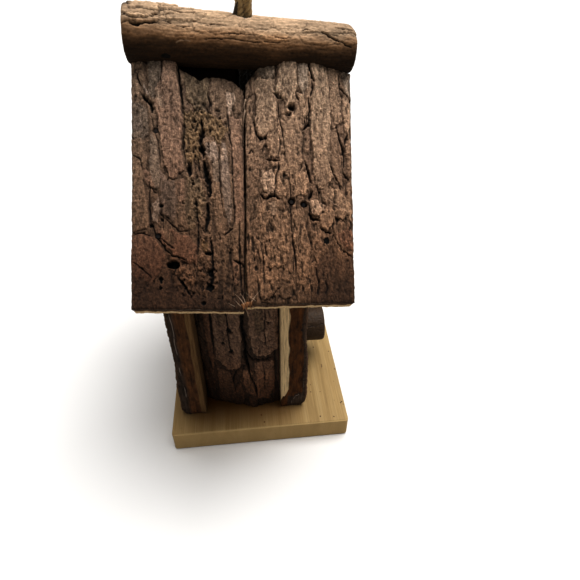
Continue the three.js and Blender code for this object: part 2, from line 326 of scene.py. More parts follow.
ROPE_ROUTE = [  # (X, Z) in metres at Y = 0, as the CAD route
    (0.00045, 0.2043), (0.00045, 0.212), (0.00045, 0.220), (0.00045, 0.228), (0.0004, 0.235),
    (-0.0002, 0.243), (-0.0021, 0.251), (-0.0044, 0.259), (-0.0062, 0.267), (-0.0066, 0.2745),
    (-0.0052, 0.2812), (-0.0020, 0.2856), (0.0024, 0.2872), (0.0068, 0.2856), (0.0100, 0.2812),
    (0.0114, 0.2745), (0.0110, 0.267), (0.0092, 0.259), (0.0069, 0.251), (0.0050, 0.243),
    (0.0044, 0.235), (0.00435, 0.228), (0.00435, 0.220), (0.00435, 0.212), (0.00435, 0.2043),
]
ROPE_X = 2.4  # mm, as all below
STEP = 0.3  # along a drawn ply
KNOT_STEP = 0.35
STRANDS_PRESSED = 0.128  # how much nearer the strands lie where they enter the log, as a share
PLIES = 3
PLY_RADIUS = 1.16
PLY_OFFSET = 0.9
LAY_PITCH = 6.5
KNOT_CENTRE = 183.6
NECK_TOP = 203.9
STRANDS_X = (0.7, 4.1)  # the two strands, where they go into the knot
HAIRS, HAIR_REACH, HAIR_THICKNESS = 420, 1.3, 0.045
FRAYED_ENDS = 9


def jute_material():
    n = Nodes("jute_twine")
    grain = n.attribute("grain").outputs["Vector"]
    tone = n.attribute("tone").outputs["Color"]
    strands = n.noise(n.stretched(grain, (6.0, 0.8, 6.0)), detail=5, roughness=0.7)
    color = n.tinted(tone, strands, [(0.25, (0.55, 0.52, 0.45)), (0.75, (1.4, 1.38, 1.3))])
    n.shader.inputs["Sheen Weight"].default_value = 0.35
    n.shader.inputs["Sheen Roughness"].default_value = 0.5
    n.bump(strands, 0.00022, 0.9)
    return n.surface(color, 0.9, 0.15)


def curve_through(points, per_span=10):
    """Catmull-Rom points through the given ones, in mm."""
    points = np.asarray(points, float)
    ends = np.vstack([2 * points[0] - points[1], points, 2 * points[-1] - points[-2]])
    made = []
    for i in range(1, len(ends) - 2):
        a, b, c, d = ends[i - 1:i + 3]
        for t in np.linspace(0, 1, per_span, endpoint=False):
            made.append(0.5 * (2 * b + (c - a) * t + (2 * a - 5 * b + 4 * c - d) * t ** 2
                               + (3 * b - a - 3 * c + d) * t ** 3))
    made.append(points[-1])
    return np.array(made)


def evenly(points, step):
    """The same line in even steps, its total length and each point's distance along."""
    lengths = np.concatenate([[0], np.cumsum(np.linalg.norm(np.diff(points, axis=0), axis=1))])
    count = int(lengths[-1] / step) + 1
    at = np.linspace(0, lengths[-1], count)
    return np.stack([np.interp(at, lengths, points[:, k]) for k in range(3)], -1), at


def frames_along(points):
    """A side and a normal at each point that turn as little as they can."""
    ahead = np.gradient(points, axis=0)
    ahead /= np.linalg.norm(ahead, axis=1)[:, None]
    sides = np.zeros_like(points)
    side = np.array([0.0, 1.0, 0.0])
    for i, t in enumerate(ahead):
        side = side - t * side.dot(t)
        side = side / np.linalg.norm(side)
        sides[i] = side
    return sides, np.cross(ahead, sides)


def ply_shell(points, at, phase, seed, offset=PLY_OFFSET, radius=PLY_RADIUS, sides_count=16, shade_factor=1.0):
    """One ply as (vertices, faces, tones, grains), winding round the line. Tones go dark in and under the log:
    painted shade.
    """
    sides, normals = frames_along(points)
    turn = 2 * math.pi * at / LAY_PITCH + phase
    wobble = 1 + 0.08 * noise(at / 3.1, at * 0, seed)
    centre = points + (offset * wobble * np.cos(turn))[:, None] * sides
    centre = centre + (offset * wobble * np.sin(turn))[:, None] * normals
    own_sides, own_normals = frames_along(centre)
    around = np.linspace(0, 2 * math.pi, sides_count + 1)[:-1]
    angle, s = np.meshgrid(around, at)
    twisted = angle + s * 2 * math.pi / 11.0
    lumps = 0.1 * noise(s / 1.7, angle * 0, seed + 1)
    strands = 0.11 * np.abs(np.sin(twisted * 4)) + 0.08 * noise(s / 0.8, twisted * 2.4, seed + 2)
    thick = radius * (0.9 + lumps + strands)
    shell = (centre[:, None, :] + (thick * np.cos(angle))[..., None] * own_sides[:, None, :]
             + (thick * np.sin(angle))[..., None] * own_normals[:, None, :])
    level = 0.5 + 0.9 * (strands - 0.07) / 0.11 * 0.3 + 0.25 * noise(s / 2.2, twisted * 1.1, seed + 3)
    tone = blend(np.array([0.20, 0.13, 0.062]), np.array([0.68, 0.50, 0.27]), np.clip(level, 0, 1)[..., None])
    # Painted shade: the twine goes nearly black inside the log and under it.
    tone = tone * shade_factor * blend(0.04, 1.0, smooth(shell[..., 2], 207, 215))[..., None]
    rows, columns = angle.shape
    faces = grid_faces(rows, columns, wrap=True)
    faces.append(tuple(range(columns)))
    faces.append(tuple(range((rows - 1) * columns, rows * columns)))
    grain = np.stack([twisted * 0.8, s, np.zeros_like(s) + seed], -1)
    return shell.reshape(-1, 3), faces, tone.reshape(-1, 3), grain.reshape(-1, 3)


def hair_shell(points, rng, count, reach):
    """Loose fibres standing off a line of twine."""
    sides, normals = frames_along(points)
    ahead = np.gradient(points, axis=0)
    ahead /= np.linalg.norm(ahead, axis=1)[:, None]
    vertices, faces, tones = [], [], []
    for _ in range(count):
        i = rng.integers(4, len(points) - 4)
        turn = rng.uniform(0, 2 * math.pi)
        out = math.cos(turn) * sides[i] + math.sin(turn) * normals[i]
        tall = reach * rng.uniform(0.25, 1.0) ** 1.5
        slant = rng.uniform(-1.6, 1.6)
        curl = rng.normal(0, 0.35, 3)
        base = len(vertices)
        across = np.cross(out, ahead[i])
        for k, t in enumerate(np.linspace(0, 1, 5)):
            spine = points[i] + out * (1.2 + tall * t) + ahead[i] * slant * tall * t + curl * tall * t * t
            for c in range(3):
                a = 2 * math.pi * c / 3
                off = math.cos(a) * across + math.sin(a) * ahead[i]
                vertices.append(spine + HAIR_THICKNESS * (1 - 0.7 * t) * off)
        for k in range(4):
            for c in range(3):
                d = (c + 1) % 3
                faces.append((base + 3 * k + c, base + 3 * k + d, base + 3 * k + 3 + d, base + 3 * k + 3 + c))
        faces.append((base, base + 1, base + 2))
        faces.append((base + 12, base + 13, base + 14))
        tones += [np.array([0.50, 0.38, 0.22]) * rng.uniform(0.6, 1.2)] * 15
    vertices, tones = np.array(vertices), np.array(tones)
    return vertices, faces, tones, vertices.copy()


def joined(name, shells):
    vertices, faces, tones, grains, start = [], [], [], [], 0
    for points, part, tone, grain in shells:
        vertices.append(points)
        tones.append(tone)
        grains.append(grain)
        faces += [tuple(i + start for i in face) for face in part]
        start += len(points)
    data = {"tone": np.concatenate(tones), "grain": np.concatenate(grains)}
    return make_mesh(name, np.concatenate(vertices), faces, data)


def laid(line, at, seed, **kind):
    """The plies of one strand of twine, laid round its line."""
    return [ply_shell(line, at, 2 * math.pi * k / PLIES, seed + 10 * k, **kind) for k in range(PLIES)]


def frayed_ends(rng):
    """Dark frayed ends where the back strand enters the log."""
    shells = []
    for k in range(FRAYED_ENDS):
        y = rng.uniform(-1.9, 0.6)
        x = rng.uniform(-0.9, 0.2)
        top = rng.uniform(230.8, 233.6)
        foot = rng.uniform(227.4, 228.6)
        reach = rng.uniform(0.6, 2.4)
        route = [(x + 0.6, y, top), (x - 0.3 * reach, y - 0.2, top - 1.6), (x - reach, y - 0.3, foot)]
        line, at = evenly(curve_through(route), STEP)
        # Painted shade: these ends are coloured very dark where they go into the hole.
        shells.append(ply_shell(line, at, 0.7 * k, 820 + k, offset=0.05, radius=0.32, sides_count=8,
                                shade_factor=0.14))
    return shells


def make_knot(surface):
    """The knot under the log: a turn tied round itself, with the two strands going down into it."""
    turns = np.linspace(0, 2 * math.pi, 40)
    away = 2.35 + 1.5 * np.cos(3 * turns)
    tangle = np.stack([ROPE_X + away * np.cos(2 * turns), away * np.sin(2 * turns),
                       KNOT_CENTRE - 1.3 + 2.2 * np.sin(3 * turns)], -1)
    line, at = evenly(tangle, KNOT_STEP)
    shells = laid(line, at, 740, sides_count=10)
    for x in STRANDS_X:
        x_low = blend(ROPE_X, x, 0.6)
        route = [(x_low, 0, KNOT_CENTRE), (x_low, 0.2, 192), (x, 0, 198), (x, 0, NECK_TOP)]
        line, at = evenly(curve_through(route), KNOT_STEP)
        shells += laid(line, at, 770, sides_count=10)
    knot = joined("twine_knot", shells)
    knot.data.materials.append(surface)
    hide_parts("rope_knot")
    return knot


def make_twine():
    surface = jute_material()
    rng = np.random.default_rng(5)
    route = [(x / MM, 0, z / MM) for x, z in ROPE_ROUTE]
    line, at = evenly(curve_through(route), STEP)
    line[:, 0] = blend(line[:, 0], ROPE_X, STRANDS_PRESSED * smooth(line[:, 2], 243, 235))
    shells = laid(line, at, 700)
    shells.append(hair_shell(line[60:-60], rng, HAIRS, HAIR_REACH))
    shells += frayed_ends(rng)
    rope = joined("twine_loop", shells)
    rope.data.materials.append(surface)
    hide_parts("rope_loop")
    knot = make_knot(surface)


make_twine()

# ---------------------------------------------------------------------------
# Bark: a height and a colour over a slab, u across and v along, in mm.
# ---------------------------------------------------------------------------

BARK_BROWN = np.array([0.245, 0.178, 0.126])
TONES = {  # what each kind of bark is, against the common brown
    "black": (0.05, 0.03, 0.025),
    "umber": (0.35, 0.31, 0.30),
    "dark": (0.62, 0.57, 0.55),
    "brown": (0.92, 0.88, 0.85),
    "red": (0.98, 0.84, 0.82),
    "tan": (1.18, 1.14, 1.10),
    "pale": (1.36, 1.36, 1.34),
    "cream": (1.75, 1.82, 1.90),
    "bone": (2.50, 2.60, 2.80),
    "rust": (1.25, 0.85, 0.55),
    "straw": (2.75, 2.95, 2.85),
    "weathered": (2.15, 2.28, 2.20),
    "pink": (1.32, 1.22, 1.22),
    "grey": (1.02, 1.10, 1.18),
    "silver": (1.24, 1.35, 1.53),
    "moss": (0.92, 0.95, 0.88),
    "gold": (0.98, 0.94, 0.76),
    "slate": (0.86, 0.88, 0.96),
    "plum": (1.50, 1.55, 1.80),
}
TONES = {name: BARK_BROWN * value for name, value in TONES.items()}
# The walls' bark is darker than the roof's, partly its own tone and partly painted shade under the eaves.
WALL_TONE_AND_SHADE = np.array([0.67, 0.57, 0.50])  # the walls' bark against the roof's


class Bark:
    def __init__(self, u, v, seed, tones=("dark", "brown", "tan"), cracked=1.0):
        self.u, self.v, self.seed = u, v, seed
        warped = u + 0.9 * fbm(u / 6, v / 14, seed + 1)
        self.broad = fbm(warped / 6.5, v / 42, seed + 2)
        self.ridges = 1 - 2 * np.abs(fbm(warped / 2.6, v / 24, seed + 3, 3))
        self.crumbs = fbm(u / 1.3, v / 2.2, seed + 4)
        border, own = cells(warped / 5.6, v / 19 + 0.35 * fbm(u / 3, v / 9, seed + 5, 2), seed + 6)
        crack = cracked * np.exp(-(border / 0.075) ** 2)
        self.height = 0.55 * self.broad + 0.4 * self.ridges + 0.3 * own + 0.35 * self.crumbs - 1.0 * crack
        # The tone follows the same fields as the height, darker where the bark lies lower; the cracks get
        # painted shade.
        level = 0.5 + 0.20 * self.broad + 0.18 * own + 0.16 * self.crumbs + 0.14 * self.ridges
        low, middle, high = (TONES[tone] for tone in tones)
        level = level[..., None]
        self.color = np.where(level < 0.5, blend(low, middle, np.clip(level * 2, 0, 1)),
                              blend(middle, high, np.clip(level * 2 - 1, 0, 1)))
        self.color *= (1 - 0.75 * crack)[..., None]

    def plate(self, tone, lift, outline, ragged=0.5, rough=0.12, pale_rim=0.15):
        """A scale of bark standing over what is round it, with painted shadow just below its lower edge."""
        u, v, seed = self.u, self.v, self.seed + int(7 * abs(outline[0][0]) + 13 * abs(outline[0][1])) % 997
        x = u + ragged * (0.8 * noise(u / 1.9, v / 2.6, seed) + 0.5 * noise(u / 0.7, v / 0.9, seed + 1))
        y = v + ragged * (1.6 * noise(u / 1.4, v / 3.1, seed + 2) + 0.8 * noise(u / 0.5, v / 1.1, seed + 3))
        depth = outline_distance(outline, x, y)
        inside = smooth(depth, 0, 0.45)
        above = outline_distance(outline, x, y - 0.65)
        under = smooth(above, 0, 0.7) * (1 - inside) * min(1.0, lift)
        fibres = fbm(u / 0.6, v / 6, seed + 4, 3)
        grains = fbm(u / 0.9, v / 1.3, seed + 5, 3)
        top = 0.45 * self.broad + lift * (0.65 + 0.35 * smooth(depth, 0, 2.5)) + 0.22 * self.ridges
        top = top + 0.16 * self.crumbs + 0.05 * fibres + (0.06 + 1.2 * rough) * grains
        self.height = blend(self.height - 0.5 * under, top, inside)
        shade = 1 + 0.05 * fibres + (0.16 + 0.5 * rough) * grains + 0.12 * self.crumbs + 0.1 * self.ridges
        # A paler band just inside the plate's edge.
        shade = shade + pale_rim * 0.7 * np.exp(-((depth - 0.5) / 0.45) ** 2) + 0.14 * noise(u / 4, v / 9, seed + 6)
        # Painted shadow: the bark just below the plate's lower edge is darkened.
        around = self.color * (1 - 0.75 * under)[..., None]
        self.color = blend(around, TONES[tone] * shade[..., None], (0.85 * inside)[..., None])

    def fissure(self, width, depth, points):
        u, v, seed = self.u, self.v, self.seed + 400
        x = u + 0.3 * noise(u / 1.1, v / 1.7, seed)
        y = v + 0.3 * noise(u / 0.9, v / 1.3, seed + 1)
        gap, along = line_distance(points, x, y)
        local = 0.66 * width * (0.3 + 0.7 * np.sin(math.pi * np.clip(along, 0.03, 0.97)) ** 0.6)
        local = local * (1 + 0.45 * noise(u / 0.7, v / 1.1, seed + 2))
        cut = np.exp(-np.abs(gap / local) ** 3)
        self.height = self.height - depth * cut
        # Painted shade: the fissure is coloured towards black, more the deeper it is.
        self.color = blend(self.color, TONES["black"], (cut * min(1.0, 0.45 + 0.35 * depth))[..., None])

    def pit(self, u0, v0, across, along, depth, ragged=0.3):
        x = self.u + ragged * noise(self.u / 0.9, self.v / 0.9, self.seed + 500)
        y = self.v + ragged * noise(self.u / 0.9, self.v / 0.9, self.seed + 501)
        far = np.hypot((x - u0) / across, (y - v0) / along)
        hole = smooth(far, 1.08, 0.92)
        self.height = self.height - depth * hole
        # Painted shade: the hole is coloured nearly black.
        self.color = blend(self.color, 0.15 * TONES["black"], hole[..., None])

    def scratch(self, tone, width, points, lift=0.25):
        gap, along = line_distance(points, self.u, self.v)
        line = np.exp(-(gap / width) ** 2) * smooth(along, 0, 0.1) * smooth(along, 1, 0.85)
        self.height = self.height + lift * line
        self.color = blend(self.color, TONES[tone], 0.75 * line[..., None])

    def crumble(self, depth, outline, stretch=3.0):
        """Rotten bark in loose flakes, drawn out along the grain by stretch, with painted shade in the slits
        between.
        """
        u, v, seed = self.u, self.v, self.seed + 900
        x = u + 0.9 * noise(u / 2.2, v / 3.0, seed)
        inside = smooth(outline_distance(outline, x, v), -0.8, 1.2)
        bent = u + 0.6 * noise(u / 1.8, v / (1.5 * stretch), seed + 1)
        lumps = fbm(bent / 1.8, v / (1.8 * stretch), seed + 2, 4)
        flakes = 1 - 2 * np.abs(fbm((bent + 0.1 * v) / 1.3, v / (1.6 * stretch), seed + 3, 3))
        slits = smooth(fbm(bent / 1.1, v / (1.5 * stretch), seed + 4, 3), 0.48, 0.8)
        self.height = self.height + inside * depth * (0.6 * lumps + 0.3 * flakes - 1.2 * slits)
        # Painted shade: the slits between the flakes go dark.
        tone = (1 + 0.14 * lumps + 0.14 * flakes) * (1 - 0.7 * slits)
        self.color = self.color * blend(1.0, np.clip(tone, 0.1, 1.7), inside)[..., None]

    def flake(self, lift, outline, gain=0.12, ragged=0.8):
        """A thin loose sheet, a little lighter than what it lies on, with a painted shadow line under its edge.
        """
        u, v, seed = self.u, self.v, self.seed + int(11 * abs(outline[0][0]) + 5 * abs(outline[0][1])) % 991
        x = u + ragged * (0.8 * noise(u / 2.1, v / 2.4, seed) + 0.5 * noise(u / 0.6, v / 0.7, seed + 1))
        y = v + ragged * (1.2 * noise(u / 1.7, v / 2.8, seed + 2) + 0.6 * noise(u / 0.5, v / 0.8, seed + 3))
        depth = outline_distance(outline, x, y)
        inside = smooth(depth, 0, 0.25)
        rim = np.exp(-((depth + 0.2) / 0.28) ** 2)
        self.height = self.height + lift * inside * (0.7 + 0.3 * smooth(depth, 0, 2)) - 0.3 * lift * rim
        # Painted shadow: a dark line just outside the sheet's edge.
        self.color = self.color * (1 + gain * inside - 0.5 * min(1.0, 1.4 * lift) * rim)[..., None]

    def shade(self, dark, outline, soft=4.0, absorbs=(1.0, 1.0, 1.0)):
        """A broad painted shade, darker inside the outline, each channel as much as absorbs says."""
        x = self.u + 1.5 * noise(self.u / 5, self.v / 7, self.seed + 600)
        amount = dark * smooth(outline_distance(outline, x, self.v), -soft / 2, soft / 2)
        self.color = self.color * (1 - amount[..., None] * np.array(absorbs))

    def weather_and_shade(self, levels, tones):
        """Lighter and greyer at the top, darker and redder at the foot: weathering and painted light and shade.
        """
        top = np.array([1.0, 1.05, 1.13])
        foot = np.array([1.06, 0.88, 0.76])
        share = np.clip((self.v - levels[0]) / (levels[-1] - levels[0]), 0, 1)[..., None]
        self.color = self.color * blend(top, foot, share) * np.interp(self.v, levels, tones)[..., None]

    def settled(self, reach=4, fine=1.0):
        """Grain and small splits all over; painted shade in hollows and splits, painted light on raised parts.
        """
        u, v, seed = self.u, self.v, self.seed + 700
        fibres = fbm(u / 0.42, v / 5, seed, 3)
        grains = fbm(u / 0.75, v / 0.95, seed + 1, 3)
        drift = u + 0.7 * noise(u / 3, v / 8, seed + 3)
        patchy = smooth(noise(u / 3, v / 6, seed + 5), -0.5, 0.3)
        splits = np.exp(-(fbm(drift / 1.5, v / 13, seed + 4, 3) / 0.06) ** 2) * patchy
        patchy = smooth(noise(u / 4, v / 4, seed + 7), -0.2, 0.4)
        chips = np.exp(-(fbm(drift / 1.8, v / 5.0, seed + 6, 3) / 0.05) ** 2) * patchy
        relief = 0.05 * fibres + 0.2 * grains - 0.32 * splits - 0.34 * chips
        self.height = self.height + fine * relief
        # Painted shade and light: hollows of the relief darker and raised parts lighter, splits and chips
        # darker.
        hollow = self.height - blurred(self.height, reach)
        tone = np.clip(1 + 0.62 * hollow, 0.3, 1.4) * (1 + fine * (0.05 * fibres + 0.24 * grains))
        tone = tone * (1 - 0.4 * fine * splits) * (1 - 0.28 * fine * chips)
        tone = tone * (1 + 0.14 * fbm(u / 9, v / 15, seed + 8, 2))
        self.color = np.clip(self.color * tone[..., None], 0.002, 0.9)
        return self


def scattered(bark, rng, u_range, v_range, plates, fissures, tones):
    """Plates and cracks at random, for the slabs that have none of their own listed."""
    for _ in range(plates):
        u0, v0 = rng.uniform(*u_range), rng.uniform(*v_range)
        half_u, half_v = rng.uniform(2.2, 6.5), rng.uniform(6, 20)
        turns = np.sort(rng.uniform(0, 2 * math.pi, 9))
        stretch = rng.uniform(0.75, 1.15, 9)
        outline = [(u0 + half_u * k * math.cos(t), v0 + half_v * k * math.sin(t))
                   for t, k in zip(turns, stretch)]
        bark.plate(tones[rng.integers(len(tones))], rng.uniform(0.35, 1.1), outline,
                   ragged=rng.uniform(0.4, 0.8), rough=rng.uniform(0.06, 0.25))
    for _ in range(fissures):
        u0, v0, length = rng.uniform(*u_range), rng.uniform(*v_range), rng.uniform(8, 26)
        lean = rng.uniform(-1.2, 1.2, 5).cumsum()
        points = [(u0 + lean[k], v0 + length * k / 4) for k in range(5)]
        bark.fissure(rng.uniform(0.3, 0.8), rng.uniform(0.8, 1.8), points)


# ---------------------------------------------------------------------------
# Slabs.
# ---------------------------------------------------------------------------


def border_order(rows, columns):
    """Indices round the edge of a grid, once round."""
    bottom = list(range(columns))
    right = [r * columns + columns - 1 for r in range(1, rows)]
    top = [(rows - 1) * columns + c for c in range(columns - 2, -1, -1)]
    left = [r * columns for r in range(rows - 2, 0, -1)]
    return bottom + right + top + left


class Slab:
    """A split slab: bark in front, four cut or split sides and a flat sawn face at the back.

    place(a, b, n) gives u and v for shares a, b of the way across and along at height n above
    the bark plane; world(u, v, n) gives the point. All in mm.
    """

    def __init__(self, name, place, world, sawn, bark_rows, layers, seed, curl=0.0):
        self.name, self.place, self.world, self.sawn = name, place, world, sawn
        self.bark_rows, self.layers, self.seed, self.curl = bark_rows, layers, seed, curl

    def grid(self, step):
        a_low = self.place(np.array(0.0), np.array(0.5), 0.0)
        a_high = self.place(np.array(1.0), np.array(0.5), 0.0)
        b_low = self.place(np.array(0.5), np.array(0.0), 0.0)
        b_high = self.place(np.array(0.5), np.array(1.0), 0.0)
        columns = int(abs(a_high[0] - a_low[0]) / step) + 2
        rows = int(abs(b_high[1] - b_low[1]) / step) + 2
        return np.meshgrid(np.linspace(0, 1, columns), np.linspace(0, 1, rows))

    def build(self, step, paint, crown, node_replaced, material):
        a, b = self.grid(step)
        rows, columns = a.shape
        u, v = self.place(a, b, 0.0)
        bark = paint(u, v)
        across, along = np.ptp(u[rows // 2]), np.ptp(v[:, columns // 2])
        edge = np.minimum(np.minimum(a, 1 - a) * across, np.minimum(b, 1 - b) * along)
        rounding = 0.6 * np.exp(-(edge / 0.9)) + 0.3 * np.exp(-(edge / 0.35))
        rounding = rounding * smooth(b, 0.0, 0.012)  # the upper end keeps its corner
        level = crown(a, b) + bark.height - rounding
        points = self.world(u, v, level).reshape(-1, 3)
        # Painted shade: the bark goes darker close to the slab's edges, where it meets its neighbours.
        color = bark.color * (1 - 0.35 * np.exp(-(edge / 0.5)))[..., None]
        colors = [color.reshape(-1, 3)]
        grains = [np.stack([u, v, level], -1).reshape(-1, 3)]
        layer = [np.ones(rows * columns)]
        rim = [np.zeros(rows * columns)]
        shell = [points]
        border = np.array(border_order(rows, columns))
        ba, bb = a.ravel()[border], b.ravel()[border]
        top = level.ravel()[border]
        wood, inner = self.layers
        thickness = top.mean() - self.sawn
        for ring in range(1, self.bark_rows + 1):
            n = blend(top, self.sawn, ring / self.bark_rows)
            ru, rv = self.place(ba, bb, n)
            tall = n - self.sawn
            fibrous = np.interp(tall, [0, 0.9 * wood, wood + 0.4, thickness], [0.12, 0.12, 0.5, 0.35])
            rag = 0.55 + 0.45 * fbm(n / 0.9, (ru + rv) / 4.5, self.seed + 11, 3)
            rag = -fibrous * np.clip(rag, 0, 1) * (ring < self.bark_rows)
            off_u, off_v = ru - u.mean(), rv - v.mean()
            ru = ru + rag * np.sign(off_u) * (np.abs(off_u) > 0.4 * np.ptp(u))
            rv = rv + 0.6 * rag * np.sign(off_v) * (np.abs(off_v) > 0.45 * np.ptp(v))
            shell.append(self.world(ru, rv, n))
            grains.append(np.stack([ru, rv, n], -1))
            over = self.curl * smooth(bb + 0.01 * noise(n, n * 0, 84), 0.915, 0.955)
            layer.append(np.interp(tall, [0, wood, inner, thickness + 1], [0, 0.4, 0.75, 1.0]) + over)
            # Painted shade: the cut faces at the slab's upper end, under the log, are coloured black.
            shaded_upper_end = (bb < 0.004)[:, None]
            rim.append(np.where(shaded_upper_end[:, 0], 0.0, min(1.0, 0.5 + 0.5 * ring)))
            colors.append(np.where(shaded_upper_end, TONES["black"], color.reshape(-1, 3)[border]))
        faces = grid_faces(rows, columns)
        count = len(border)
        previous = border.tolist()
        start = rows * columns
        for _ in range(self.bark_rows):
            current = list(range(start, start + count))
            for i in range(count):
                j = (i + 1) % count
                faces.append((previous[i], previous[j], current[j], current[i]))
            previous = current
            start += count
        faces.append(tuple(reversed(previous)))
        data = {"tone": np.concatenate(colors), "grain": np.concatenate(grains),
                "layer": np.concatenate(layer), "rim": np.concatenate(rim)}
        slab = make_mesh(self.name, np.concatenate(shell), faces, data)
        slab.data.polygons[len(slab.data.polygons) - 1].use_smooth = False
        slab.data.materials.append(material)
        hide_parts(node_replaced)


# ---------------------------------------------------------------------------
# Materials of the slabs, the board, the logs and the nails.
# ---------------------------------------------------------------------------


def slab_material(name, wood, inner, pale_line=0.9, roughness=(0.74, 0.96), specular=0.32, stray=0.035):
    """Bark in its painted tones in front; at the cut sides wood, then inner bark, then dark outer bark.

    A broken pale line of loose fibres runs along the sides at the layer pale_line. The borders of the
    layers stray by that much either way.
    """
    n = Nodes(name)
    grain = n.attribute("grain").outputs["Vector"]
    tone = n.attribute("tone").outputs["Color"]
    rim = n.attribute("rim").outputs["Fac"]
    layer = n.attribute("layer").outputs["Fac"]
    sand = n.noise(n.stretched(grain, (1.5, 1.1, 1.5)), detail=5, roughness=0.75)
    specks = n.noise(n.stretched(grain, (2.5, 2.2, 2.5)), detail=5, roughness=0.8)
    bark = n.tinted(tone, sand, [(0.3, (0.66, 0.64, 0.62)), (0.7, (1.34, 1.34, 1.34))])
    bark = n.tinted(bark, specks, [(0.32, (0.20, 0.18, 0.16)), (0.68, (1.82, 1.82, 1.82))])
    wander = n.noise(n.stretched(grain, (0.14, 0.06, 0.14)), detail=2, roughness=0.5)
    depth = n.math("ADD", layer, n.remap(wander, 0.3, 0.7, -stray, stray))
    pale, dark = [0.92 * k for k in wood], [0.75 * k for k in inner]
    sides = n.ramp(depth, [(0.0, pale), (0.375, wood), (0.41, dark), (0.70, inner),
                           (0.82, (0.055, 0.036, 0.028)), (1.0, (0.08, 0.058, 0.046))])
    lines = n.noise(n.stretched(grain, (1.2, 0.07, 1.6)), detail=6, roughness=0.75)
    sides = n.tinted(sides, lines, [(0.28, (0.42, 0.37, 0.31)), (0.66, (1.34, 1.34, 1.34))])
    blots = n.noise(n.stretched(grain, (0.35, 0.11, 0.35)), detail=5, roughness=0.7)
    barked = n.remap(depth, 0.38, 0.42, 0.0, 1.0)
    blotted = n.tinted(sides, blots, [(0.35, (0.30, 0.27, 0.26)), (0.62, (1.5, 1.5, 1.5))])
    sides = n.mix(barked, sides, blotted)
    frayed = n.noise(n.stretched(grain, (0.4, 0.09, 0.4)), detail=3)
    off_line = n.math("ABSOLUTE", n.math("SUBTRACT", depth, pale_line))
    on_line = n.remap(off_line, 0.008, 0.022, 1.0, 0.0)
    on_line = n.math("MULTIPLY", on_line, n.remap(frayed, 0.45, 0.55, 0.0, 0.75))
    sides = n.mix(on_line, sides, (0.42, 0.35, 0.32, 1))
    color = n.mix(rim, bark, sides)
    height = n.math("ADD", n.math("MULTIPLY", sand, 0.7), n.math("MULTIPLY", specks, 0.6))
    n.bump(height, 0.0008, 1.0)
    return n.surface(color, n.remap(specks, 0.3, 0.7, *roughness), specular)


def pine_material():
    """Planed pine with specks, dark crumbs on the porch, painted shade under the eaves and painted light on the
    long edges.
    """
    n = Nodes("pine_board")
    place = n.new("ShaderNodeTexCoord").outputs["Object"]
    drift = n.noise(n.stretched(place, (30, 7, 30)), detail=2)
    bent = n.new("ShaderNodeVectorMath", operation="MULTIPLY_ADD")
    n.link(place, bent.inputs[0])
    bent.inputs[1].default_value = (1, 1, 1)
    shift = n.new("ShaderNodeCombineXYZ")
    n.link(n.remap(drift, 0, 1, -0.006, 0.006), shift.inputs["X"])
    n.link(shift.outputs["Vector"], bent.inputs[2])
    rings = n.noise(n.stretched(bent.outputs["Vector"], (210, 1.6, 60)), detail=3, roughness=0.45)
    fine = n.noise(n.stretched(place, (1500, 30, 1500)), detail=5, roughness=0.7)
    mottle = n.noise(n.stretched(place, (60, 22, 60)), detail=4)
    color = n.ramp(rings, [(0.30, (0.37, 0.255, 0.112)), (0.5, (0.425, 0.30, 0.138)),
                           (0.70, (0.47, 0.345, 0.172))])
    color = n.tinted(color, fine, [(0.3, (0.78, 0.75, 0.69)), (0.7, (1.14, 1.14, 1.14))])
    color = n.tinted(color, mottle, [(0.3, (0.88, 0.86, 0.82)), (0.7, (1.08, 1.08, 1.08))])
    spots = n.new("ShaderNodeTexVoronoi")
    n.link(n.stretched(place, (150, 110, 150)), spots.inputs["Vector"])
    spots.inputs["Scale"].default_value = 1.0
    rare = n.math("GREATER_THAN", n.noise(n.stretched(place, (60, 60, 60)), detail=1), 0.52)
    fleck = n.math("MULTIPLY", n.remap(spots.outputs["Distance"], 0.06, 0.1, 1.0, 0.0), rare, clamp=True)
    color = n.mix(fleck, color, (0.16, 0.09, 0.04, 1))
    split = n.new("ShaderNodeSeparateXYZ")
    n.link(place, split.inputs[0])
    porch = n.remap(split.outputs["X"], 0.030, 0.036, 0.0, 1.0)
    bits = n.new("ShaderNodeTexVoronoi")
    n.link(n.stretched(place, (330, 290, 330)), bits.inputs["Vector"])
    bits.inputs["Scale"].default_value = 1.0
    some = n.math("GREATER_THAN", n.noise(n.stretched(place, (140, 120, 140)), detail=1), 0.56)
    crumb = n.remap(bits.outputs["Distance"], 0.14, 0.2, 1.0, 0.0)
    crumb = n.math("MULTIPLY", crumb, n.math("MULTIPLY", some, porch))
    color = n.mix(crumb, color, (0.09, 0.045, 0.02, 1))
    # Painted shade on the board under the house and its eaves, a dark brown that fades towards the porch and
    # the board's edges.
    eave_shade = n.math("MULTIPLY", n.remap(n.math("ABSOLUTE", split.outputs["Y"]), 0.0395, 0.0645, 1.0, 0.0),
                    n.remap(split.outputs["X"], 0.012, 0.034, 1.0, 0.0))
    eave_shade = n.math("MULTIPLY", eave_shade, n.remap(split.outputs["X"], -0.049, -0.036, 0.3, 1.0))
    color = n.mix(eave_shade, color, (0.17, 0.062, 0.004, 1))
    # Painted light: the faces at the board's long edges are mixed towards a lighter pine.
    edge = n.remap(n.math("ABSOLUTE", split.outputs["Y"]), 0.0612, 0.0618, 0.0, 1.0)
    color = n.mix(n.math("MULTIPLY", edge, 0.4), color, (0.80, 0.60, 0.31, 1))
    height = n.math("ADD", n.math("MULTIPLY", rings, 0.5), n.math("MULTIPLY", fine, 0.5))
    n.bump(height, 0.00016, 0.7)
    return n.surface(color, n.remap(fine, 0.3, 0.7, 0.5, 0.68), 0.35)


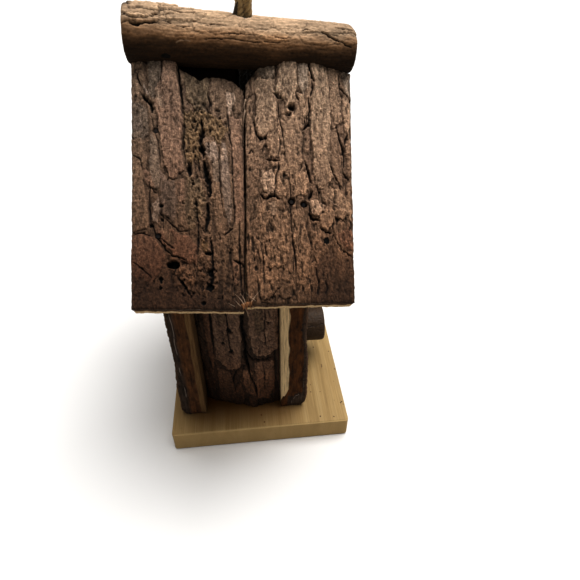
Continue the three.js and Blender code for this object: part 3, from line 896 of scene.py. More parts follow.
def log_material(name, roughness=(0.72, 0.95), specular=0.3):
    """Painted tones with fibres along the log."""
    n = Nodes(name)
    grain = n.attribute("grain").outputs["Vector"]
    tone = n.attribute("tone").outputs["Color"]
    fibres = n.noise(n.stretched(grain, (1.3, 0.16, 1.3)), detail=6, roughness=0.7)
    specks = n.noise(n.stretched(grain, (0.9, 0.5, 0.9)), detail=5, roughness=0.65)
    color = n.tinted(tone, fibres, [(0.3, (0.80, 0.78, 0.74)), (0.7, (1.18, 1.18, 1.18))])
    color = n.tinted(color, specks, [(0.3, (0.76, 0.74, 0.71)), (0.7, (1.22, 1.22, 1.21))])
    height = n.math("ADD", n.math("MULTIPLY", fibres, 0.6), n.math("MULTIPLY", specks, 0.5))
    n.bump(height, 0.00022, 0.8)
    return n.surface(color, n.remap(specks, 0.3, 0.7, *roughness), specular)


def steel_material():
    n = Nodes("nail_steel")
    place = n.new("ShaderNodeTexCoord").outputs["Object"]
    scuffs = n.noise(n.stretched(place, (900, 900, 900)), detail=5)
    rust = n.noise(n.stretched(place, (350, 350, 350)), detail=4)
    color = n.mix(n.remap(rust, 0.42, 0.55, 0.0, 1.0), (0.012, 0.012, 0.013, 1), (0.016, 0.009, 0.006, 1))
    n.link(n.remap(rust, 0.42, 0.55, 0.4, 0.0), n.shader.inputs["Metallic"])
    n.bump(scuffs, 0.00005, 0.5)
    return n.surface(color, n.remap(scuffs, 0.3, 0.7, 0.6, 0.85), 0.3)


CREAM_WOOD = (0.66, 0.50, 0.31)
# The pale wood comes in three copies: lighter on the roof and front slabs, as painted light, and darker on the
# back slabs, as painted shade; CREAM_WOOD is the side walls'.
SLAB_SURFACES = {
    "roof": slab_material("roof_slab", (0.90, 0.72, 0.48), (0.13, 0.062, 0.030), stray=0.07),
    "back": slab_material("back_slab", (0.24, 0.145, 0.065), (0.160, 0.072, 0.028), 0.865),
    "front": slab_material("front_slab", (0.92, 0.74, 0.48), (0.13, 0.050, 0.013), 0.93),
    "side": slab_material("side_slab", CREAM_WOOD, (0.13, 0.062, 0.030), 0.9, (0.42, 0.66), 0.45),
}

# ---------------------------------------------------------------------------
# Roof slabs. u runs along the ridge and v down the slope, as the slabs lie.
# ---------------------------------------------------------------------------

ROOF_APEX = np.array([1.2, 0.0, 213.5])
ROOF_LEAN = math.radians(2.8)
ROOF_PITCH = math.radians(46)
SLAB_SAWN = -13.0
EAVE_SLOPE = math.tan(math.radians(5))
LOG_BACK = np.array([-48.7, 0.0, 221.1])
LOG_FRONT = np.array([51.6, 0.0, 213.9])
LOG_RADII = (11.7, 10.1)  # back, front
ROPE_CLEAR = 4.3  # the slabs keep this far from the middle of the twine
BARK_SINK = 0.75  # the painted heights are about this far over nought on average
SLAB_PLANS = {  # corners [u, v]: top back, top front, low front, low back
    "back": [(-47.9, -4), (1.6, -4), (-1.0, 116.9), (-48.8, 115.1)],
    "front": [(2.2, -4), (51.5, -4), (48.4, 114.9), (-0.1, 114.8)],
}
ROOF_LAYERS = (5.8, 8.2)  # pale wood up to here over the sawn face, then inner bark up to here
TOP_LIFTS = {"near_front": (5.2, 0.5, 0.36), "near_back": (3.4, 0.22, 0.24)}  # height, share across, reach
# How much of a slab's top end is broken away, by u.
BROKEN_TOPS = {
    "near_back": ([-28.5, -26.5, -22, -18, -15, -8, -3, 1], [0, 3.2, 5.4, 7.8, 5.6, 5.4, 7.0, 10.0]),
    "near_front": ([2, 4, 7, 10, 40, 46, 51], [8.0, 5.0, 1.5, 0, 0, 0.2, 0.6]),
    "far_back": ([-48, -40, -30, 1], [1.5, 0, 0.6, 0]),
    "far_front": ([2, 20, 40, 51], [0.5, 0, 0.8, 2.0]),
}


def roof_axes(side):
    ridge = np.array([math.cos(ROOF_LEAN), 0, -math.sin(ROOF_LEAN)])
    up = np.array([math.sin(ROOF_LEAN), 0, math.cos(ROOF_LEAN)])
    across = np.array([0, side, 0])
    outward = math.sin(ROOF_PITCH) * across + math.cos(ROOF_PITCH) * up
    down = math.cos(ROOF_PITCH) * across - math.sin(ROOF_PITCH) * up
    return ridge, outward, down


def roof_point(side, u, v, n):
    ridge, outward, down = roof_axes(side)
    u, v, n = (np.asarray(x, float)[..., None] for x in (u, v, n))
    return ROOF_APEX + (u - ROOF_APEX[0]) * ridge + v * down + n * outward


def slab_top(u, n, broken):
    """Where a slab's upper end lies: against the log, the other slope's slab or the twine's hole."""
    twine = np.sqrt(np.maximum(0, ROPE_CLEAR ** 2 - (u - ROPE_X) ** 2))
    mitre = (np.maximum(0.3, twine) - n * math.sin(ROOF_PITCH)) / math.cos(ROOF_PITCH)
    share = (u - LOG_BACK[0]) / (LOG_FRONT[0] - LOG_BACK[0])
    above = blend(LOG_BACK[2], LOG_FRONT[2], share) - ROOF_APEX[2] + math.sin(ROOF_LEAN) * (u - ROOF_APEX[0])
    seat_radius = blend(LOG_RADII[0], LOG_RADII[1], share) - 0.5
    log_n = above * math.cos(ROOF_PITCH)
    log_v = -above * math.sin(ROOF_PITCH)
    seat = log_v + np.sqrt(np.maximum(0, seat_radius ** 2 - (n - log_n) ** 2))
    return np.maximum(mitre, seat) + np.interp(u, *broken) * smooth(n, -9.0, -5.0)


def roof_place(plan, broken):
    top_back, top_front, low_front, low_back = plan

    def place(a, b, n):
        a, b, n = np.broadcast_arrays(a, b, np.asarray(n, float))
        first = blend(top_back[0], top_front[0], a)
        low = blend(low_back[1], low_front[1], a) - n * EAVE_SLOPE
        low = low + 0.14 * noise(a * 22, n * 0, 71) + 0.1 * noise(a * 120, n / 1.5, 72)
        high = slab_top(first, n, broken)
        v = blend(high, low, b)
        share = (v - top_back[1]) / (low_back[1] - top_back[1])
        left = blend(top_back[0], low_back[0], share)
        left = left + 0.16 * fbm(v / 14, v * 0, 73, 2) + 0.12 * noise(v / 1.3, v * 0, 74)
        right = blend(top_front[0], low_front[0], share)
        right = right + 0.16 * fbm(v / 12, v * 0, 75, 2) + 0.12 * noise(v / 1.5, v * 0, 76)
        return blend(left, right, a), v

    return place


def roof_crown(key):
    """Bark height over a slab: crowned across, and in places thicker at the top, where it laps the log."""
    height, middle, reach = TOP_LIFTS.get(key, (0, 0.5, 1))

    def crown(a, b):
        lap = height * np.exp(-np.abs((a - middle) / reach) ** 3) * np.exp(-(b / 0.16) ** 2)
        return -1.5 + 2.3 * (1 - (2 * a - 1) ** 2) - BARK_SINK + lap

    return crown


def near_front_bark(u, v):
    """The slab on the near slope over the porch: long tan plates, curled scales and three nail holes."""
    bark = Bark(u, v, 11, ("dark", "brown", "tan"), cracked=0.55)
    bark.plate("brown", 0.3, [(2, 22), (5, 22), (5, 60), (4.6, 90), (3.4, 113), (0, 113), (1, 60)])
    bark.plate("pale", 0.95, [(5.6, 14), (8, 12), (15, 14), (15.3, 31), (13, 35), (11, 38), (9, 39.2),
                              (6.5, 37.5), (5.6, 31), (6.4, 24)], rough=0.16)
    bark.plate("grey", 0.4, [(7, 6), (15, 5), (15, 14), (8, 12)])
    bark.plate("tan", 0.7, [(11, 35.5), (15, 32), (18, 36), (18.5, 42), (17, 49.2), (11, 49), (10.5, 42)],
               rough=0.2)
    bark.plate("pale", 1.15, [(17, 4), (24.6, 4), (25, 12), (24.5, 19), (23.5, 26), (22.5, 28.8), (19.5, 29),
                              (19, 25), (17, 22), (14.5, 19.5), (16.5, 14)], rough=0.18)
    bark.plate("grey", 0.45, [(25, 4), (30, 4), (30, 17), (27, 21), (25, 17)])
    bark.plate("tan", 0.6, [(24.5, 22), (28.5, 21), (29.3, 31), (27.5, 33.5), (26, 44), (27.5, 50), (24, 56),
                            (20.5, 57), (19.3, 50), (19.5, 40), (20.5, 31), (24, 29)], rough=0.16)
    bark.plate("pale", 0.85, [(31, 5), (38, 5), (39, 12), (40, 20), (40.5, 33), (40, 50), (41, 58), (38, 62),
                              (33, 64), (31, 56), (31.5, 45), (30.6, 34), (31.5, 26), (32.5, 17), (31, 11)],
               rough=0.1)
    bark.plate("tan", 0.55, [(39.5, 5), (44, 5), (44.5, 14), (46, 20), (46, 31), (43, 34), (41, 30), (40, 18)])
    bark.plate("grey", 0.5, [(46, 8), (52, 7), (50.8, 19.5), (48, 17.5)])
    bark.plate("tan", 0.45, [(46.7, 20), (50.6, 22), (50, 33), (48.5, 38), (47, 34), (46.4, 27)])
    bark.plate("brown", 0.4, [(46.8, 42), (50.2, 38), (49.7, 56), (47.6, 54)])
    bark.plate("tan", 0.45, [(5, 66), (11, 72), (19, 74), (20, 90), (17, 99), (8, 99), (4.6, 90)],
               rough=0.28, ragged=0.8)
    bark.plate("brown", 0.4, [(5, 41), (9.5, 41), (10, 48), (8, 54), (5.6, 62), (4.8, 52)], rough=0.2)
    bark.plate("tan", 0.5, [(12, 51), (18.5, 50), (19.5, 64), (18, 70), (15, 67), (14.5, 58)], rough=0.24)
    bark.plate("tan", 0.55, [(21, 60), (27, 53), (28.6, 60), (28, 67), (24, 66), (21.5, 68)], rough=0.14)
    bark.plate("tan", 0.5, [(21, 73), (25, 72), (29, 90), (28.4, 100), (27.5, 111), (24, 112), (22, 98),
                            (21, 85)])
    bark.plate("brown", 0.35, [(28, 79), (33, 84), (36, 92), (31, 98), (29.6, 90)], rough=0.16)
    bark.plate("red", 0.35, [(41, 84), (47, 80), (49.5, 84), (49.4, 92), (44, 90)], rough=0.2)
    bark.plate("dark", 0.25, [(30, 98), (34, 94), (38, 93), (44, 96), (50, 92), (50, 117), (29, 117)],
               rough=0.04)
    bark.plate("tan", 0.75, [(4.8, 101), (12, 100), (14.5, 105), (13, 111), (10, 113), (5.6, 111.5)],
               rough=0.2)
    bark.plate("brown", 0.45, [(14, 101), (20, 102), (20, 112), (15, 113)], rough=0.22)
    bark.plate("pale", 0.35, [(34, 61), (44, 64), (49, 70), (49, 79), (44, 72), (38, 68)], rough=0.14)
    bark.plate("cream", 1.05, [(8, 55), (12.5, 54.5), (14.3, 59), (13.5, 64), (11, 65.8), (8.5, 64.5),
                               (7.5, 60)], rough=0.24)
    bark.plate("cream", 0.6, [(11, 69.5), (14, 69), (15, 73), (13, 75.5), (11.6, 74)], rough=0.2)
    bark.plate("tan", 0.7, [(40, 71.5), (46, 72), (46.5, 76), (44, 78), (41, 76.5)])
    bark.plate("tan", 0.85, [(33, 76), (37, 71.5), (41, 73.5), (40.5, 79), (37, 82.5), (34, 81)], rough=0.16)
    bark.plate("cream", 1.25, [(28.5, 69.5), (31, 68), (33.5, 69.5), (36.6, 71), (36, 74), (33.5, 76),
                               (31, 75.5), (29, 73)], rough=0.16)
    for width, depth, points in (
        (0.35, 1.2, [(15.7, 6), (15.4, 10), (15.2, 15.5)]),
        (0.38, 1.2, [(16.1, 24), (17, 32), (18.3, 40), (18.8, 49)]),
        (0.55, 1.6, [(14.3, 20), (15.5, 21), (16.8, 22.4)]),
        (0.4, 1.3, [(18.3, 29.4), (20, 29.8), (22, 29.8)]),
        (0.5, 1.2, [(24, 20.2), (25, 22), (25.7, 24)]),
        (0.85, 2.2, [(30.3, 7), (31, 11), (32, 14), (33, 15.3)]),
        (0.55, 1.3, [(31.5, 15.5), (32, 18), (31, 21.5)]),
        (0.45, 1.3, [(30, 22), (30.5, 28), (30, 34.5)]),
        (0.8, 2.0, [(30.1, 33), (28.8, 34.6), (27.4, 36.2)]),
        (0.6, 1.6, [(44.5, 10), (45.3, 15), (48, 18), (50.4, 20.7)]),
        (0.6, 1.4, [(43.4, 32.6), (42.9, 34), (44, 37), (45, 42)]),
        (0.8, 1.7, [(44.4, 38), (45.8, 43), (46.3, 48), (46, 53)]),
        (0.6, 1.3, [(48.6, 36.5), (47.4, 40), (46.6, 42.5)]),
        (0.65, 1.8, [(27.4, 50.6), (28.4, 53), (29.5, 57), (30.6, 61)]),
        (0.9, 2.0, [(30.6, 64.5), (30, 66.5), (28.8, 68.2)]),
        (0.4, 1.2, [(38.6, 49), (40.3, 55), (43, 60), (44.5, 66)]),
        (0.5, 1.2, [(45.6, 55.5), (47, 57), (48.6, 59)]),
        (0.4, 1.2, [(20.2, 58), (20.6, 66), (20.4, 76), (20.5, 85)]),
        (0.65, 1.4, [(20.5, 84), (21.3, 91), (22, 101)]),
        (0.5, 1.4, [(5.2, 32), (5.6, 35), (6.2, 38)]),
        (0.6, 1.7, [(6.2, 38), (8.2, 39.8), (10.8, 39.6)]),
        (0.6, 1.8, [(10.6, 49.4), (13, 50.1), (16.6, 50.2)]),
        (0.45, 1.2, [(2.4, 46.7), (4, 45), (5, 46.5)]),
        (0.5, 1.2, [(15.8, 53.5), (14.6, 57), (13.8, 61)]),
        (0.9, 2.2, [(7.4, 65.2), (9.3, 67.6), (11.5, 66.4), (14, 66.4), (15.4, 68)]),
        (0.9, 2.0, [(28.6, 74.5), (30.4, 77.2), (33.6, 78)]),
        (0.65, 1.6, [(33.4, 81.2), (35.6, 82.8), (38, 83.3)]),
        (0.3, 0.8, [(38, 60.5), (41, 63.5), (40.4, 69)]),
        (0.45, 1.2, [(41, 76.2), (43, 77), (45.2, 78.7)]),
        (0.5, 1.2, [(9.6, 93.4), (8.6, 90.6), (8.2, 87)]),
        (0.45, 1.1, [(30.8, 99), (31.6, 104), (32, 108.5)]),
        (0.45, 1.1, [(41, 88), (43, 91), (46, 93), (49, 95)]),
        (0.4, 1.0, [(11, 112.5), (12.6, 109), (15.2, 107)]),
    ):
        bark.fissure(width, depth, points)
    bark.pit(36.2, 87, 1.3, 1.6, 0.9)
    for depth, outline in (
        (0.45, [(0, 22), (5, 22), (5, 112), (0, 112)]),
        (0.6, [(10, 36), (19, 36), (20, 68), (7, 68), (7, 54)]),
        (0.45, [(4, 70), (20, 72), (21, 112), (4, 112)]),
        (0.35, [(24, 20), (31, 20), (31, 48), (24, 48)]),
        (0.4, [(40, 84), (50, 80), (50, 96), (41, 96)]),
        (0.45, [(20, 56), (34, 56), (38, 112), (20, 112)]),
        (0.4, [(31, 62), (50, 64), (50, 82), (40, 84)]),
        (0.4, [(43, 4), (51, 4), (50, 40), (44, 30)]),
    ):
        bark.crumble(depth, outline)
    bark.scratch("cream", 0.35, [(34, 66.3), (39, 69), (44, 72), (48.8, 75.2)])
    bark.scratch("pale", 0.35, [(38, 61.3), (44, 65.6), (49, 69.6)])
    bark.scratch("tan", 0.3, [(31.8, 106.8), (33.4, 105.6), (35.2, 104.2)])
    # Painted shade over the lower right and along the eave; then lighter towards the top and darker towards the
    # eave, partly painted light and shade.
    bark.shade(0.26, [(33, 88), (56, 74), (56, 124), (20, 124)], soft=24, absorbs=(0.8, 1.0, 1.15))
    bark.shade(0.30, [(-2, 104), (52, 104), (52, 122), (-2, 122)], soft=12)
    bark.weather_and_shade([0, 22, 50, 80, 102], [1.50, 1.47, 1.28, 0.92, 0.95])
    bark.settled()
    for u0, v0 in ((22.1, 26.4), (21.1, 69.0), (26.5, 70.4)):
        bark.pit(u0, v0, 1.55, 1.55, 4.0, ragged=0.06)
    return bark


def near_back_bark(u, v):
    """The slab on the near slope over the back wall: a long pink plate, mossy bark and a knot hole."""
    bark = Bark(u, v, 23, ("dark", "brown", "tan"), cracked=0.5)
    bark.plate("tan", 0.4, [(-49, 4), (-43, 4), (-42, 12), (-43, 17), (-45, 24), (-44.5, 30), (-49, 30)],
               rough=0.16)
    bark.plate("grey", 0.7, [(-41, 4), (-34.5, 4), (-34, 12), (-35, 17), (-37.5, 20), (-38.5, 25),
                             (-40.5, 20), (-40.6, 10)], rough=0.06)
    bark.plate("grey", 0.5, [(-49, 24), (-44, 25), (-41, 28), (-40.6, 40), (-44, 42), (-49, 39)], rough=0.14)
    bark.plate("silver", 0.55, [(-42.4, 15.5), (-40.6, 19), (-39.9, 23.5), (-41.4, 22.5), (-42.6, 19)],
               rough=0.05)
    bark.plate("silver", 0.45, [(-47.8, 32), (-44, 31.8), (-43, 35), (-44.6, 37.5), (-47.6, 36.6)], rough=0.1)
    bark.plate("tan", 0.5, [(-49, 40), (-42.4, 41), (-41.2, 50), (-43, 60), (-41.4, 70), (-41, 80), (-49, 82)],
               rough=0.12)
    bark.plate("grey", 0.6, [(-40, 38), (-37.4, 41), (-36.2, 50), (-35.6, 58), (-37, 64), (-40, 62), (-41, 52)],
               rough=0.1)
    bark.plate("pink", 0.45, [(-44, 52), (-40, 56), (-38, 64), (-41, 63), (-44, 57)])
    bark.plate("slate", 0.55, [(-36.4, 54), (-33, 59), (-29.4, 60), (-28.5, 70), (-30, 79), (-36, 73)],
               rough=0.1)
    bark.plate("silver", 0.3, [(-39.6, 69), (-36.6, 66), (-35.8, 72), (-37.4, 79), (-39.8, 76)], rough=0.24)
    bark.plate("pink", 0.5, [(-29.6, 60), (-25.3, 58), (-25.2, 67), (-27, 70.5), (-29.5, 67)], rough=0.12)
    bark.plate("tan", 0.35, [(-30, 70), (-26, 70), (-22, 76), (-24, 82), (-29, 80)], rough=0.14)
    bark.plate("red", 0.55, [(-38.5, 80), (-30, 82), (-24, 84), (-20, 90), (-21, 97), (-26, 95.5), (-31, 92),
                             (-36, 87)], rough=0.06, pale_rim=0.1)
    bark.plate("tan", 0.35, [(-37, 80), (-31, 82), (-30, 88), (-33, 88)], rough=0.08)
    bark.plate("red", 0.5, [(-49, 83), (-39.6, 83), (-34, 92), (-36, 99), (-40, 104), (-49, 101)], rough=0.06)
    bark.plate("dark", 0.2, [(-49, 100), (-38, 105), (-28, 104), (-22, 110), (-10, 112), (0, 110), (0, 119),
                             (-49, 119)], rough=0.1)
    bark.plate("moss", 0.6, [(-25.5, 8), (-18, 12), (-14.5, 12), (-14.5, 22), (-16, 28), (-20, 28),
                             (-24.5, 24)], rough=0.25)
    bark.plate("tan", 0.55, [(-13.6, 11), (-9, 10.5), (-7.4, 20), (-8, 29), (-12, 30), (-14, 22)], rough=0.12)
    bark.plate("brown", 0.5, [(-7.6, 10), (-2, 12), (0, 18), (0, 28), (-3, 30), (-6.6, 18)], rough=0.14)
    bark.plate("bone", 0.65, [(-7, 18.5), (-3.4, 18.5), (-2.5, 22), (-4, 26), (-5, 29.5), (-6.4, 29),
                              (-6.8, 23)], rough=0.06)
    bark.plate("gold", 0.35, [(-25.5, 29), (-19, 27.5), (-11, 30), (-7, 34), (-7.4, 42), (-13, 42), (-17, 38),
                              (-18.5, 50), (-24, 53), (-26, 42)], ragged=1.1, rough=0.42)
    bark.plate("silver", 0.5, [(-17, 43), (-11.6, 42), (-10.4, 48), (-12, 53), (-15, 50), (-16.6, 48)],
               rough=0.12)
    bark.plate("grey", 0.4, [(-14, 52), (-9.6, 50), (-9.8, 60), (-13.4, 62)], rough=0.16)
    bark.plate("silver", 0.6, [(-9.6, 42), (-7.6, 42), (-5.6, 58), (-5, 77), (-7, 81), (-8.5, 74), (-10, 60)],
               rough=0.1)
    bark.plate("pink", 0.45, [(-6.4, 30), (0, 30), (0, 78), (-4, 80), (-4.6, 60), (-5.4, 48)], rough=0.12)
    bark.plate("tan", 0.5, [(-14.6, 60), (-10.6, 60), (-9, 72), (-9.8, 82), (-12.4, 84), (-13.6, 74)],
               rough=0.1)
    bark.plate("tan", 0.6, [(-9.6, 82), (-3.2, 80), (-2.6, 88), (-6, 91), (-9, 88)], rough=0.12)
    bark.plate("moss", 0.3, [(-24.4, 58), (-18, 60), (-16, 70), (-19, 76), (-22, 82), (-26, 78), (-25, 68)],
               ragged=1.0, rough=0.4)
    bark.plate("brown", 0.3, [(-20, 80), (-15.4, 80), (-13.4, 90), (-14, 104), (-18, 106), (-20, 98)],
               ragged=0.9, rough=0.38)
    bark.plate("gold", 0.35, [(-19, 86), (-16, 87), (-16, 91), (-18.4, 91)], rough=0.3)
    bark.plate("brown", 0.35, [(-13, 84), (-9.6, 86), (-8, 100), (-9.6, 112), (-13, 111)], rough=0.14)
    bark.plate("pink", 0.45, [(-6, 95), (-2.9, 97), (-3, 105), (-5.6, 106)], rough=0.08)
    bark.plate("tan", 0.4, [(-5.4, 88), (-3, 90), (-3.2, 96), (-5.2, 96)], rough=0.08)
    bark.plate("tan", 0.45, [(-28, 97), (-24.6, 97), (-22, 103), (-23, 110), (-26, 107), (-29, 101)],
               ragged=0.9, rough=0.36)
    bark.plate("pink", 1.25, [(-33.4, 4), (-29, 4), (-28, 12), (-27, 20), (-26, 28), (-25.6, 35), (-26.6, 42),
                              (-26.4, 50), (-25.4, 55), (-29, 59), (-32, 59), (-34, 52), (-35.6, 44),
                              (-36.6, 36), (-38, 26), (-37.4, 19), (-34.6, 13)], rough=0.17, pale_rim=0.15)
    for depth, outline in (
        (0.8, [(-25, 18), (-17, 22), (-9, 28), (-6.6, 40), (-14, 44), (-15, 54), (-24, 56), (-26, 40)]),
        (0.9, [(-24, 56), (-15, 54), (-14, 68), (-15, 82), (-12, 108), (-20, 110), (-23, 92), (-21, 80)]),
        (0.9, [(-31, 95), (-24, 95), (-20, 104), (-21, 113), (-30, 110)]),
        (0.25, [(-48, 6), (-42, 6), (-42, 34), (-48, 36)]),
        (0.4, [(-13, 84), (-1, 88), (-1, 112), (-13, 112)]),
    ):
        bark.crumble(depth, outline, 1.3)
    bark.scratch("cream", 0.9, [(-37, 19.5), (-36, 23), (-34.8, 28)], lift=0.2)
    bark.scratch("bone", 0.6, [(-8.8, 45), (-9.2, 51)], lift=0.35)
    for width, depth, points in (
        (0.5, 1.4, [(-45.5, 12), (-44.5, 16), (-43.3, 18)]),
        (1.1, 2.3, [(-42.6, 22), (-40.8, 24.2), (-39.4, 26), (-39.0, 29)]),
        (0.3, 0.8, [(-39.6, 29), (-38.7, 35), (-37.2, 40), (-36.3, 47), (-35.6, 54)]),
        (0.7, 2.0, [(-28.2, 4), (-27.2, 12), (-26.6, 20), (-25.6, 27)]),
        (0.35, 1.0, [(-25.4, 27), (-24.9, 36), (-26, 45), (-25, 53)]),
        (1.0, 2.4, [(-18.2, 32), (-17.4, 37), (-18.6, 43), (-17.2, 49)]),
        (1.7, 3.0, [(-17.2, 51), (-16.4, 56), (-15.2, 61), (-14.6, 66)]),
        (1.3, 2.2, [(-24, 52), (-23.4, 55), (-23.2, 58)]),
        (0.6, 1.4, [(-15.4, 19), (-14, 24), (-14.6, 29)]),
        (1.3, 2.0, [(-16, 70), (-15.6, 76), (-17, 81)]),
        (0.9, 2.0, [(-15, 85), (-14.1, 95), (-14.6, 103), (-15.6, 107)]),
        (0.5, 1.4, [(-2.4, 78), (-2.6, 90), (-2.1, 105), (-2.3, 112)]),
        (0.6, 1.2, [(-5, 95.4), (-2.6, 96), (-0.8, 97.4)]),
        (0.4, 1.0, [(-48.6, 47), (-44.6, 50), (-43.4, 55)]),
        (0.45, 1.1, [(-36.5, 74), (-32, 78.5), (-28, 82.4), (-24.6, 82)]),
        (0.6, 1.3, [(-39.6, 79.6), (-38, 84), (-34, 90), (-31, 93)]),
        (0.4, 1.0, [(-48, 95), (-44, 98), (-40, 102)]),
        (0.4, 1.0, [(-36, 85), (-33, 88), (-30, 90)]),
        (0.5, 1.5, [(-32, 92.6), (-28.6, 93.4), (-25.6, 94.8)]),
        (0.4, 1.0, [(-40.6, 62), (-39, 64), (-37.4, 65)]),
        (0.5, 1.1, [(-47.6, 82.6), (-43, 82.8), (-40, 84.2)]),
        (0.8, 1.4, [(-29.4, 102), (-26, 106), (-23.5, 111)]),
        (0.4, 1.0, [(-6.2, 30), (-5, 45), (-4.8, 60), (-4.2, 79)]),
        (0.5, 1.2, [(-40.5, 60), (-40.7, 70), (-40.2, 79)]),
        (0.4, 1.0, [(-10.4, 44), (-10.6, 58), (-9.6, 72)]),
        (0.35, 1.0, [(-34.6, 6), (-34.2, 11), (-35, 16)]),
        (0.6, 1.3, [(-9, 84), (-6.8, 82.2), (-5.4, 81)]),
        (0.5, 1.2, [(-20.6, 70), (-20, 80), (-20.4, 92)]),
    ):
        bark.fissure(width, depth, points)
    for u0, v0, across, along, depth in (
        (-31, 96.6, 2.9, 1.7, 3.2), (-40, 79.4, 1.0, 0.7, 1.6), (-36.2, 103, 0.8, 1.4, 1.8),
        (-36.2, 106.6, 0.6, 0.7, 1.2), (-35.6, 70.8, 1.2, 0.8, 1.4), (-35.4, 77, 0.6, 0.8, 1.2),
        (-16, 92, 1.5, 0.8, 1.8), (-15.4, 107, 1.6, 1.4, 2.2), (-18.3, 45.6, 1.2, 1.6, 2.2),
        (-18.4, 113.6, 1.1, 0.9, 1.2), (-15.2, 100.6, 1.0, 1.6, 2.0),
    ):
        bark.pit(u0, v0, across, along, depth)
    # Painted shade along the eave, over the lower left and down the left column; then lighter towards the top
    # and darker towards the eave, partly painted light and shade.
    bark.shade(0.35, [(-50, 98), (2, 102), (2, 122), (-50, 122)], soft=14)
    bark.shade(0.20, [(-56, 92), (-26, 84), (-8, 124), (-56, 128)], soft=26, absorbs=(0.5, 1.0, 1.3))
    bark.shade(0.22, [(-52, 30), (-40, 30), (-40, 84), (-52, 84)], soft=6)
    bark.weather_and_shade([0, 22, 50, 80, 102], [1.10, 1.10, 0.98, 0.78, 0.62])
    bark.settled()
    bark.pit(-37.7, 37.2, 1.3, 1.3, 1.7, ragged=0.25)
    bark.pit(-37.2, 84, 1.3, 1.3, 2.0, ragged=0.2)
    return bark


def far_bark(seed, nails):
    def paint(u, v):
        rng = np.random.default_rng(seed)
        bark = Bark(u, v, seed, ("dark", "brown", "tan"), cracked=0.7)
        scattered(bark, rng, (u.min(), u.max()), (v.min(), v.max()), 26, 22,
                  ("tan", "tan", "brown", "pink", "grey", "pale", "moss", "red"))
        bark.settled(3)
        for u0, v0 in nails:
            bark.pit(u0, v0, 1.2, 1.2, 2.2, ragged=0.15)
        return bark
    return paint


ROOF_PAINTS = {
    "near_front": near_front_bark,
    "near_back": near_back_bark,
    "far_front": far_bark(41, [(20.5, 30), (21.5, 76)]),
    "far_back": far_bark(57, [(-38.5, 33), (-37.5, 80)]),
}


def make_roof():
    for side, label in ((-1, "near"), (1, "far")):
        for end, plan in SLAB_PLANS.items():
            key = f"{label}_{end}"
            slab = Slab(f"roof_{key}", roof_place(plan, BROKEN_TOPS[key]),
                        lambda u, v, n, side=side: roof_point(side, u, v, n),
                        SLAB_SAWN, 12, ROOF_LAYERS, 100 + len(key))
            slab.build(0.3 if side < 0 else 0.45, ROOF_PAINTS[key], roof_crown(key),
                       f"roof_slab_{key}", SLAB_SURFACES["roof"])


make_roof()

# ---------------------------------------------------------------------------
# Walls. Gable slabs: u is the distance from the middle seam and v runs down from WALL_TOP.
# Side slabs: u is X.
# ---------------------------------------------------------------------------

WALL_TOP = 200.0
BASE_TOP = 15.05
SEAM = 0.2
HOUSE_HALF_DEPTH = 49.0
BACK_FACE, BACK_SAWN, BACK_CROWN = -46.8, -34.0, 1.2
FRONT_FACE, FRONT_SAWN, FRONT_CROWN = 27.6, 13.3, 2.2
SIDE_FROM, SIDE_TO = -33.75, 13.05
SIDE_FACE, SIDE_SAWN = 38.0, 33.0
# Wood up to the first over the sawn face, then inner bark up to the second.
BACK_LAYERS, FRONT_LAYERS, SIDE_LAYERS = (2.9, 9.0), (4.6, 13.6), (2.5, 4.5)
SIDE_CROWNS = ([SIDE_FROM, -3, SIDE_TO], [0, 9.2, 6.0])
ENTRANCE_Z, ENTRANCE_RADIUS = 84.0, 18.0


def under_roof(x, y):
    """Height of the underside of the roof, less a little room."""
    drop = SLAB_SAWN - 0.35 - math.cos(ROOF_PITCH) * math.sin(ROOF_LEAN) * (x - ROOF_APEX[0])
    drop = drop - math.sin(ROOF_PITCH) * np.abs(y)
    return ROOF_APEX[2] + drop / (math.cos(ROOF_PITCH) * math.cos(ROOF_LEAN))


def gable_place(side, face, outwards, entrance):
    """Shares of the way across a gable slab from the seam, and down it. An entrance bites into the seam."""
    top = WALL_TOP - under_roof(face, 0.0)
    foot = WALL_TOP - BASE_TOP
    mouth_from = WALL_TOP - ENTRANCE_Z - ENTRANCE_RADIUS
    mouth_to = mouth_from + 2 * ENTRANCE_RADIUS
    arc = math.pi * ENTRANCE_RADIUS
    total = (mouth_from - top) + arc + (foot - mouth_to)
    enter, leave = (mouth_from - top) / total, (mouth_from - top + arc) / total

    def place(a, b, n):
        a, b, n = np.broadcast_arrays(a, b, np.asarray(n, float))
        x = face + outwards * n
        edge_u = HOUSE_HALF_DEPTH - 0.2 + 0.2 * fbm(b * 14, n / 3, 81, 3) - 1.4 * smooth(b, 0.965, 1.0) ** 2
        seam = SEAM + side * (0.5 * np.sin(0.7 * n) + 0.3 * noise(b * 16, n * 0, 83))
        if entrance:
            knots, levels = [0, enter, leave, 1], [0, mouth_from, mouth_to, foot]
            plain = np.interp(b, knots, levels)
            turn = math.pi * np.clip((b - enter) / (leave - enter), 0, 1)
            ragged = ENTRANCE_RADIUS + 0.15 * noise(b * 60, n * 0, 82)
            seam_u = np.maximum(seam, ragged * np.sin(turn))
            seam_v = np.where((b > enter) & (b < leave),
                              WALL_TOP - ENTRANCE_Z - ENTRANCE_RADIUS * np.cos(turn), plain)
        else:
            plain = foot * b
            seam_u = seam
            seam_v = plain
        u = blend(seam_u, edge_u, a)
        v = blend(seam_v, plain, smooth(a, 0, 0.6))
        high = WALL_TOP - under_roof(x, u)
        start = mouth_from if entrance else foot
        lift = np.clip(1 - v / start, 0, 1)
        return u, v + high * lift

    return place


